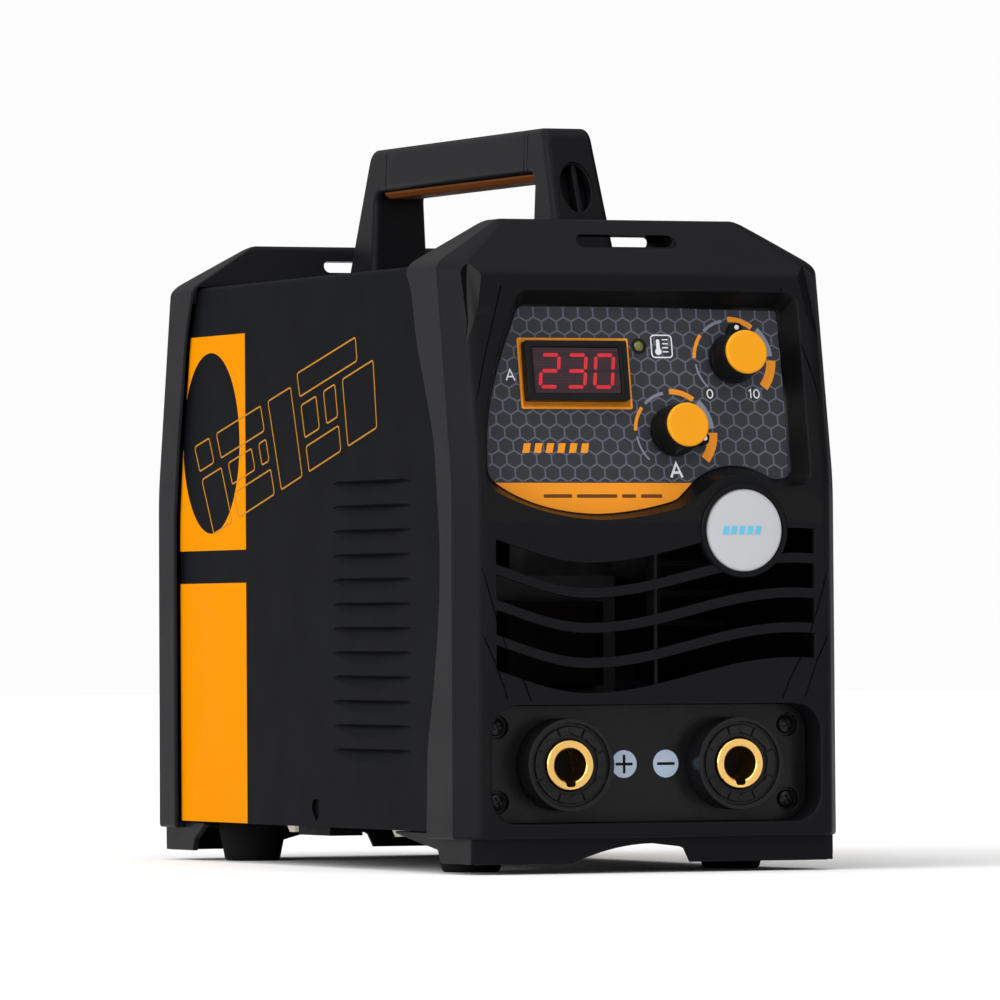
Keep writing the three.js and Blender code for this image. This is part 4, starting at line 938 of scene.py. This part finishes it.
def prints():
    white = []
    for mark in [("A", -54.2, 43.1, 4.2, 0.6), ("A", 12.9, 5.6, 5.6, 1.0), ("0", 29.7, 36.0, 3.6, 0.5),
                 ("1", 46.9, 36.1, 3.4, 0.5), ("0", 49.6, 36.1, 3.6, 0.5)]:
        white += glyph(*mark)
    white.append(print_loop("box", rounded_rect(6.3, 15.0, 50.4, 59.2, 1.4), 0.5))
    white.append(print_slab("stem", rounded_rect(8.4, 9.9, 53.4, 57.6, 0.7, 4), 0.05))
    white.append(print_slab("bulb", ellipse(9.15, 52.7, 1.35, 1.35, 24), 0.07))
    white += [print_slab("tick", [(11.0, s), (13.4, s), (13.4, s + 0.5), (11.0, s + 0.5)], 0.05)
              for s in (52.4, 54.0, 55.6, 57.2)]
    settle(merge("panel_marks", white), PRINT_WHITE, "panel_film")
    marks = [print_slab("lozenge", [(x, 12.4), (x + 2.9, 12.4), (x + 3.9, 16.2), (x + 1.0, 16.2)], 0.07)
             for x in (-51.6 + 4.9 * k for k in range(6))]
    settle(merge("panel_lozenges", marks), PRINT_ORANGE, "panel_film")
    ticks = [print_slab("bar", rounded_rect(x, x + reach, -5.3, -3.9, 0.5, 3), 0.09)
             for x, reach in [(-44.0, 12.0), (-30.0, 17.0), (-11.0, 6.0), (-3.0, 9.0)]]
    settle(merge("strip_bars", ticks), STRIP_BROWN, "panel_film")
    frame_line = print_loop("display_outline", rounded_rect(-50.0, -4.0, 30.2, 57.4, 0.4), 0.9)
    settle(frame_line, PRINT_ORANGE, "panel_film")
    strip = print_slab("lower_strip", panel_outline(-0.5), 0.06)
    cut(strip, through_plate([(-90, STRIP_TOP), (90, STRIP_TOP), (90, 90), (-90, 90)]))
    settle(strip, PRINT_ORANGE, "panel_film")


def faceplate():
    near, far = 5, 12
    plate = slab("face_film", panel_outline(-0.3), on_panel, PLATE_DEPTH, PLATE_DEPTH + PLATE_SHEET,
                 ease_near=0.25)
    window = slab("window", rounded_rect(-46, -9, 34.8, 53.8, 0.5), on_panel, near, far)
    holes = [drum(4.8, near, far, DIALS[tag][:2], on_panel) for tag in DIALS]
    cut(plate, window, *holes, drum(2.3, near, far, LAMP_CENTRE, on_panel))
    settle(plate, FILM, "panel_film", "control_faceplate")
    honeycomb()
    prints()
    for tag in DIALS:
        dial_arcs(tag)


def seven_segment(x, s, lit):
    """Bars of one digit, each a lozenge-ended stroke, leaning to the right."""
    w, h, t = 7.4, 12.6, 1.45
    ends = {"a": ((0, h), (w, h)), "g": ((0, h / 2), (w, h / 2)), "d": ((0, 0), (w, 0)),
            "f": ((0, h / 2), (0, h)), "e": ((0, 0), (0, h / 2)), "b": ((w, h / 2), (w, h)),
            "c": ((w, 0), (w, h / 2))}
    bars = []
    for key in lit:
        a, b = Vector(ends[key][0]), Vector(ends[key][1])
        along = (b - a).normalized()
        side = Vector((-along.y, along.x)) * t / 2
        a, b = a + along * 0.35, b - along * 0.35
        outline = [a, a + along * t / 2 - side, b - along * t / 2 - side, b, b - along * t / 2 + side,
                   a + along * t / 2 + side]
        outline = [(x - w / 2 + p.x + (p.y - h / 2) * 0.12, s - h / 2 + p.y) for p in outline]
        bars.append(slab("bar", fillet(outline, 0.2, 2), on_panel, 5.52, 5.62))
    return bars


def display():
    outer = slab("bezel_frame", rounded_rect(-49.0, -6.0, 32.55, 56.05, 0.9, 4), on_panel, 4.5, 8.72, 0.5)
    step = slab("step", rounded_rect(-47.0, -8.0, 34.3, 54.3, 0.8, 4), on_panel, 4.0, 4.85, steps=2)
    cut(outer, step, flared("opening", rounded_rect(-45.9, -9.1, 35.0, 53.6, 0.6, 4), on_panel, 9.5, 0.5,
                            near=3, surface=4.85))
    settle(outer, BEZEL_BLACK, "cap_plastic", "display_bezel")
    glass = slab("display_glass", rounded_rect(-45.7, -9.3, 35.2, 53.4, 0.5, 4), on_panel, 5.6, 20, 0.2)
    settle(glass, DISPLAY_GLASS, "display_window", "display_module")
    bars = seven_segment(-38.9, 44.1, "abged") + seven_segment(-27.6, 44.1, "abgcd") + \
        seven_segment(-16.0, 44.1, "abcdef")
    settle(merge("digits", bars), LIT_SEGMENT, "display_window")
    lens = turned("lamp_dome", [(0, 7.9), (1.3, 8.0), (2.1, 8.6), (2.1, 15), (0, 15)], 0.5,
                  centre=LAMP_CENTRE, place=on_panel, steps=48)
    settle(lens, LAMP_LENS, "lamp_lens", "thermal_lamp")
    seat = turned("lamp_seat", [(2.2, 8.96), (2.2, 8.6), (3.1, 8.75), (3.2, 8.96)], 0.12,
                  centre=LAMP_CENTRE, place=on_panel, steps=48)
    settle(seat, BEZEL_BLACK, "cap_plastic")


def knob(tag):
    cx, cs, angle = DIALS[tag]
    a = math.radians(angle)

    def place(u, v, w):
        return on_panel(cx + u * math.cos(a) + v * math.sin(a), cs - u * math.sin(a) + v * math.cos(a), w)

    base, top = 8.4, -4.6
    profile = [(0, top), (9.0, top), (9.7, base - 3.4), (9.9, base - 3.2), (9.9, base), (0, base)]
    body = turned(f"{tag}_knob_body", profile, 0.5, place=place, steps=96)
    nose = fillet([(-5.6, 0), (5.6, 0), (2.6, 12.4), (1.6, 14.2), (-1.6, 14.2), (-2.6, 12.4)],
                  [0, 0, 1.2, 1.2, 1.2, 1.2], 4)
    union(body, slab("nose", nose, place, base - 3.3, base, ease_near=0.5))
    settle(body, KNOB_BLACK, "cap_plastic", f"{tag}_knob", body=f"{tag}_knob_set")
    cap = turned(f"{tag}_knob_disc", [(0, top - 2.4), (7.9, top - 2.4), (8.6, top - 1.9), (8.6, top - 0.3),
                                      (0, top - 0.3)], 0.5, place=place, steps=96)
    settle(cap, ORANGE_CAP, "orange_plastic", f"{tag}_knob_cap", body=f"{tag}_knob_set")
    profile = [(0, base - 3.42), (0.95, base - 3.42), (1.0, base - 3.2), (0, base - 3.2)]
    dot = turned(f"{tag}_knob_dot", profile, 0.05, centre=(0, 12.2), place=place, steps=32)
    settle(dot, PRINT_WHITE, "badge", body=f"{tag}_knob_set")


def badge():
    r = BADGE_R - 0.1
    crown = [(0, -1.35), (r * 0.5, -1.25), (r * 0.8, -1.05), (r - 0.9, -0.85), (r - 0.3, -0.6), (r, -0.2)]
    disc = lathe("badge_face", crown + [(r, 0.8), (0, 0.8)], centre=BADGE_CENTRE, steps=96)
    settle(disc, BADGE_WHITE, "badge", "badge_disc")
    bars = []
    for left in (BADGE_X - 9.6 + 3.4 * k for k in range(5)):
        bar = [(left, -1.6), (left + 2.4, -1.6), (left + 3.1, 1.6), (left + 0.7, 1.6)]
        bars.append(slab("bar", [(x, BADGE_Z + z) for x, z in bar], on_front, -1.42, -0.9))
    settle(merge("badge_mark", bars), PALE_BLUE, "badge")


faceplate()
display()
for dial in DIALS:
    knob(dial)
badge()


# ---------- terminals ----------
SCREWS = [(-61.4, 56.85), (61.4, 56.85), (-61.4, 27.65), (61.4, 27.65)]


def phillips(name, centre, top, radius, height):
    """A cross-head screw that faces the front."""
    shank, under, tip = radius * 0.45, top + height, top + height + 3.0
    head = turned(name, [(0, top), (shank, top + 0.05), (radius * 0.85, top + height * 0.45), (radius, under),
                         (shank, under), (shank, tip), (0, tip)], 0.15, centre=centre, steps=40)
    arm, half = radius * 0.58, radius * 0.12
    slots = []
    for turn in (0.5, 0.5 + math.pi / 2):
        c, s = math.cos(turn), math.sin(turn)
        corners = [(-arm, -half), (arm, -half), (arm, half), (-arm, half)]
        ring = [(centre[0] + u * c - v * s, centre[1] + u * s + v * c) for u, v in corners]
        slots.append(slab("slot", ring, on_front, top - 1, top + height * 0.75))
    return cut(head, *slots)


def terminal_tray():
    plate = slab("terminal_tray", rounded_rect(-69.1, 69.1, 19.7, 64.8, 10.7), on_front, 14.0, 17.0)
    for x, z in SCREWS:
        cut(plate, flared("bore", ellipse(x, z, 4.5, 4.5, 48), on_front, 16.1, 0.35, near=12, surface=14.0))
    for side in (-1, 1):
        cut(plate, drum(12.9, 12, 18, (side * SOCKET_X, SOCKET_Z)))
    mark = slab("emboss", rounded_rect(22.6, 27.4, 41.5, 42.5, 0.45, 3), on_front, 13, 14.35)
    cut(plate, mark)
    settle(plate, SOCKET_BLACK, "cap_plastic", "terminal_plate")
    for i, (x, z) in enumerate(SCREWS):
        head = phillips(f"plate_screw_{i + 1}", (x, z), 14.1, 3.6, 1.75)
        settle(head, STEEL_DARK, "black_steel", f"terminal_plate_screw_{i + 1}")


def socket(tag, side):
    centre = (side * SOCKET_X, SOCKET_Z)
    profile = [(10.15, 3.4), (11.6, 3.4), (11.6, 1.9), (14.9, 1.6), (14.9, 2.9), (16.2, 2.9), (16.3, 1.0),
               (18.0, 1.0), (18.0, 13.7), (12.6, 13.7), (12.6, 20.4), (10.15, 20.4)]
    shell = turned(f"socket_{tag}", profile, 0.3, centre=centre, steps=96)
    hexagon = [(centre[0] + 12.6 * math.cos(math.radians(a)), centre[1] + 12.6 * math.sin(math.radians(a)))
               for a in range(30, 390, 60)]
    cut(shell, slab("seat", fillet(hexagon, 1.0, 3), on_front, -1, 3.1))
    slots, dots = [], []
    for k in range(8):
        t = math.radians(22.5 + 45 * k)
        c, s = math.cos(t), math.sin(t)
        ring = [(centre[0] + u * c - v * s, centre[1] + u * s + v * c)
                for u, v in [(11, -0.55), (15.6, -0.55), (15.6, 0.55), (11, 0.55)]]
        slots.append(slab("slot", ring, on_front, -1, 2.7))
        t += math.radians(22.5)
        dots.append(turned("dot", [(0, 1.25), (0.75, 1.25), (0.8, 2.4), (0, 2.4)], 0.2, steps=20,
                           centre=(centre[0] + 13.4 * math.cos(t), centre[1] + 13.4 * math.sin(t))))
    cut(shell, merge("slots", slots))
    union(shell, merge("dots", dots))
    settle(shell, SOCKET_BLACK, "socket_plastic", f"socket_shell_{tag}")
    contact = turned(f"contact_{tag}", [(6.6, 2.3), (7.2, 1.8), (9.4, 1.8), (9.9, 2.4), (9.9, 36), (0, 36),
                                        (0, 34.8), (6.6, 34.8)], 0.25, centre=centre, steps=96)
    slot = [(-2.2, -5.5), (-1.9, -8.5), (1.9, -8.5), (2.2, -5.5)]
    key = fillet([(centre[0] + u, centre[1] + v) for u, v in slot], [0, 1.2, 1.2, 0], 4)
    cut(contact, slab("key", key, on_front, -1, 18.3))
    settle(contact, BRASS, "brass", f"socket_contact_{tag}")


def polarity(tag, x, bars):
    profile = [(0, 13.86), (5.3, 13.86), (5.5, 14.05), (0, 14.05)]
    disc = turned(f"polarity_{tag}", profile, 0.08, centre=(x, 42), steps=64)
    settle(disc, PRINT_BLUE, "badge")
    shapes = [slab("bar", rounded_rect(x - a, x + a, 42 - b, 42 + b, min(a, b) * 0.4, 3), on_front,
                   13.80 - 0.02 * k, 13.88) for k, (a, b) in enumerate(bars)]
    settle(merge(f"polarity_{tag}_mark", shapes), KNOB_BLACK, "cap_plastic")


PRINT_BLUE = surface("print_pale_blue", (172, 188, 206), 0.45, specular=0.3, grain_height=0, spread=0.04)
terminal_tray()
for pole, flank in (("plus", -1), ("minus", 1)):
    socket(pole, flank)
polarity("plus", -8.3, [(3.6, 0.55), (0.55, 3.6)])
polarity("minus", 9.4, [(3.7, 0.55)])


# ---------- handle ----------
SLOPE = math.atan2(20.6, 51.0)


def handle():
    seat, low = 236.85, 228.0
    run = (seat - low) * 21.6 / 56.15
    outline = fillet([(64 - run, low), (94, low), (94, 275), (261, 275), (261, low), (291 + run, low),
                      (269.4, 293), (85.6, 293)], [3.7, 3.7, 5, 5, 3.7, 3.7, 8, 8], 6)
    shell = slab("handle_bow", outline, across, -13, 13, 3.2, 3.2, 5)
    for vertex in shell.data.vertices:
        narrowing = 0.2 * min(1.0, max(0.0, (vertex.co.z - 238.0) / 50.0))
        vertex.co.x *= 1.0 - narrowing

    def on_slope(u, v, w):
        return (u, 76.0 + v * math.sin(SLOPE) + w * math.cos(SLOPE),
                266.5 + v * math.cos(SLOPE) - w * math.sin(SLOPE))

    hollow = flared("oval", ellipse(0, 2.5, 6.4, 10.4, 48), on_slope, 7.0, 0.6, near=-4, surface=0.1)
    fin = slab("fin", rounded_rect(-0.4, 1.8, -9.5, 14.5, 0.9, 4), on_slope, 0.7, 8.5, ease_near=0.5)
    cut(shell, hollow, slab("level", [(0, 200), (400, 200), (400, seat), (0, seat)], across, -30, 30))
    union(shell, fin)
    rims = []
    for y in (101.0, 104.4, 250.5):
        band = slab("band", [(-20, 262), (20, 262), (20, 300), (-20, 300)], on_front, y - 0.25, y + 0.25)
        core = slab("core", [(-9.9, 262), (9.9, 262), (9.9, 292.5), (-9.9, 292.5)], on_front, 60, 300)
        rims.append(cut(band, core))
    cut(shell, *rims)
    cut(shell, slab("groove", rounded_rect(-8.9, 8.9, 270, 277.3, 0.3, 3), on_front, 97.0, 258.0))
    settle(shell, MOULDED, "cap_plastic", "handle_shell")
    section = fillet([(-8.6, 277), (-8.6, 274.6), (-6.2, 272.6), (6.2, 272.6), (8.6, 274.6), (8.6, 277)],
                     [0, 1.4, 1.4, 1.4, 1.4, 0], 4)
    # The insert's dark brown is painted shade on an orange part.
    insert = slab("grip_insert", section, on_front, 97.3, 257.7, 0.6, 0.6)
    settle(insert, GRIP_ORANGE_SHADE, "orange_plastic", "handle_grip_insert")


handle()


# ---------- feet ----------
def foot(tag, x, y):
    profile = [(0, 0), (10.4, 0), (11.4, 0.9), (12.2, 5.0), (13.7, 12.0), (14.0, 15.8), (0, 15.8)]
    body = turned(f"rubber_foot_{tag}", profile, 0.6, centre=(x, y), place=on_floor, steps=64)
    ring = lathe("ring", [(8.4, -1), (9.2, -1), (9.2, 0.8), (8.4, 0.8)], (x, y), on_floor, 64)
    cut(body, ring)
    settle(body, RUBBER, "rubber", f"foot_{tag}")


for foot_name, foot_x, foot_y in [("front_left", -55.5, 55.6), ("front_right", 55.5, 55.6),
                                  ("rear_left", -55.5, 291.1), ("rear_right", 55.5, 291.1)]:
    foot(foot_name, foot_x, foot_y)


# ---------- rear fittings ----------
def guard():
    near = DEPTH - 17.0 + 0.3
    wire, around = 1.1, [math.radians(a) for a in range(0, 360, 30)]
    rings = []
    for radius in (14.0, 23.0, 32.0, 41.0):
        profile = [(radius - wire + wire * math.cos(t), near + 1.3 + wire * math.sin(t)) for t in around]
        rings.append(lathe("ring", profile, centre=(0, 102), steps=96))
    whole = rings[0]
    spokes = []
    for turn in (45, 135):
        c, s = math.cos(math.radians(turn)), math.sin(math.radians(turn))
        sides = []
        for along in (-45.0, 45.0):
            sides.append([(along * c - math.cos(t) * wire * s, near + 1.2 + wire * math.sin(t),
                           102 + along * s + math.cos(t) * wire * c) for t in around])
        spokes.append(loft("spoke", sides))
    for piece in rings[1:] + spokes:
        union(whole, piece)
    eyes = [turned("eye", [(0, near), (3.6, near), (3.6, near + 2.2), (0, near + 2.2)], 0.4, steps=32,
                   centre=(47.0 * sx * math.sqrt(0.5), 102 + 47.0 * sz * math.sqrt(0.5)))
            for sx in (-1, 1) for sz in (-1, 1)]
    for eye in eyes:
        union(whole, eye)
    whole.name = "guard_wires"
    settle(whole, STEEL_DARK, "black_steel", "fan_guard", sharp=50)


guard()

# ---------- camera, light and floor ----------
def camera():
    turn, tilt, roll = math.radians(22.7344), math.radians(0.8565), math.radians(0.3504)
    forward = Vector((math.sin(turn) * math.cos(tilt), math.cos(turn) * math.cos(tilt), math.sin(tilt)))
    right = Vector((math.cos(turn), -math.sin(turn), 0))
    up = right.cross(forward)
    aim = Matrix((right, up, -forward)).transposed().to_4x4() @ Matrix.Rotation(-roll, 4, "Z")
    data = bpy.data.cameras.new("camera")
    data.sensor_width = 36
    data.lens = 336.57
    data.clip_end = 60
    obj = bpy.data.objects.new("camera", data)
    obj.matrix_world = Matrix.Translation((-1.45453, -3.48283, 0.09052)) @ aim
    bpy.context.scene.collection.objects.link(obj)
    bpy.context.scene.camera = obj
    return obj


def soft_sun(name, direction, angle, strength):
    data = bpy.data.lights.new(name, "SUN")
    data.angle = math.radians(angle)
    data.energy = strength
    obj = bpy.data.objects.new(name, data)
    obj.matrix_world = Vector(direction).to_track_quat("-Z", "Y").to_matrix().to_4x4()
    bpy.context.scene.collection.objects.link(obj)


def studio():
    scene = bpy.context.scene
    scene.view_settings.view_transform = "Standard"
    world = bpy.data.worlds.new("studio")
    scene.world = world
    world.use_nodes = True
    tree = world.node_tree
    shown, lit = tree.nodes["Background"], tree.nodes.new("ShaderNodeBackground")
    shown.inputs["Color"].default_value = (0.98, 0.98, 0.98, 1)
    direction = tree.nodes.new("ShaderNodeTexCoord")
    towards = tree.nodes.new("ShaderNodeVectorMath")
    towards.operation = "DOT_PRODUCT"
    towards.inputs[1].default_value = Vector((-0.85, 0.1, 0.5)).normalized()
    tree.links.new(direction.outputs["Generated"], towards.inputs[0])
    spread = tree.nodes.new("ShaderNodeMapRange")
    spread.inputs["From Min"].default_value = -0.3
    spread.inputs["From Max"].default_value = 0.95
    spread.inputs["To Min"].default_value = 0.06
    spread.inputs["To Max"].default_value = 1.3
    tree.links.new(towards.outputs["Value"], spread.inputs["Value"])
    tree.links.new(spread.outputs["Result"], lit.inputs["Strength"])
    path, mix = tree.nodes.new("ShaderNodeLightPath"), tree.nodes.new("ShaderNodeMixShader")
    tree.links.new(path.outputs["Is Camera Ray"], mix.inputs["Fac"])
    tree.links.new(lit.outputs["Background"], mix.inputs[1])
    tree.links.new(shown.outputs["Background"], mix.inputs[2])
    tree.links.new(mix.outputs["Shader"], tree.nodes["World Output"].inputs["Surface"])
    soft_sun("sun_top", (0.1, 0.2, -1.0), 70, 1.5)
    soft_sun("sun_left", (1.0, 0.25, -0.35), 50, 1.9)
    soft_sun("sun_front", (-0.25, 1.0, -0.35), 60, 0.6)


def floor():
    mesh = bpy.data.meshes.new("floor")
    rim_points = ellipse(0, 0, 12, 12, 60)
    mesh.from_pydata([(x, y, 0) for x, y in rim_points], [], [tuple(range(len(rim_points)))])
    obj = bpy.data.objects.new("floor", mesh)
    bpy.context.scene.collection.objects.link(obj)
    material = surface("floor_paper", (250, 250, 250), 0.7, specular=0.1, spread=0.01, grain_height=0)
    mesh.materials.append(material)


camera()
studio()
floor()

NODE_FINISH = [
    (SHEET, ["rear_panel"]),
    (TRAY_BLACK, ["base_tray"]),
    (ORANGE_CAP, ["switch_rocker"]),
    (FAN_PLASTIC, ["fan_frame", "fan_rotor", "switch_housing", "cable_gland_body", "cable_gland_nut"]),
    (ZINC, ["handle_screw_front", "handle_screw_rear", "current_pot_body", "arc_pot_body"]),
    (ZINC, [f"base_screw_{end}_{side}" for end in ("front", "rear") for side in ("left", "right")]),
    (ANODISED_SHADED, ["heatsink_left", "heatsink_right"]),
    (ALUMINIUM, ["current_pot_shaft", "arc_pot_shaft"]),
    (BOARD, ["control_board", "power_board"]),
    (FERRITE, ["transformer_core"]),
    # painted shade on the winding and the choke inside the body
    (WINDING_SHADE, ["transformer_winding", "output_choke"]),
    (COPPER, ["busbar_plus", "busbar_minus"]),
    (SLEEVE, ["capacitor_1", "capacitor_2", "capacitor_3", "rectifier_module"]),
]


def finish_node(node, material):
    """A CAD piece that is kept: flat faces joined up, edges broken, and its own finish."""
    node.data.materials.clear()
    node.data.materials.append(material)
    if node.hide_render:
        return
    flat = node.modifiers.new("flat", "DECIMATE")
    flat.decimate_type = "DISSOLVE"
    flat.angle_limit = math.radians(1)
    edge = node.modifiers.new("edge", "BEVEL")
    edge.width = 0.00035
    edge.segments = 2
    edge.limit_method = "ANGLE"
    edge.angle_limit = math.radians(40)
    edge.harden_normals = False


for finish_material, node_names in NODE_FINISH:
    for node_name in node_names:
        finish_node(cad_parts[node_name], finish_material)
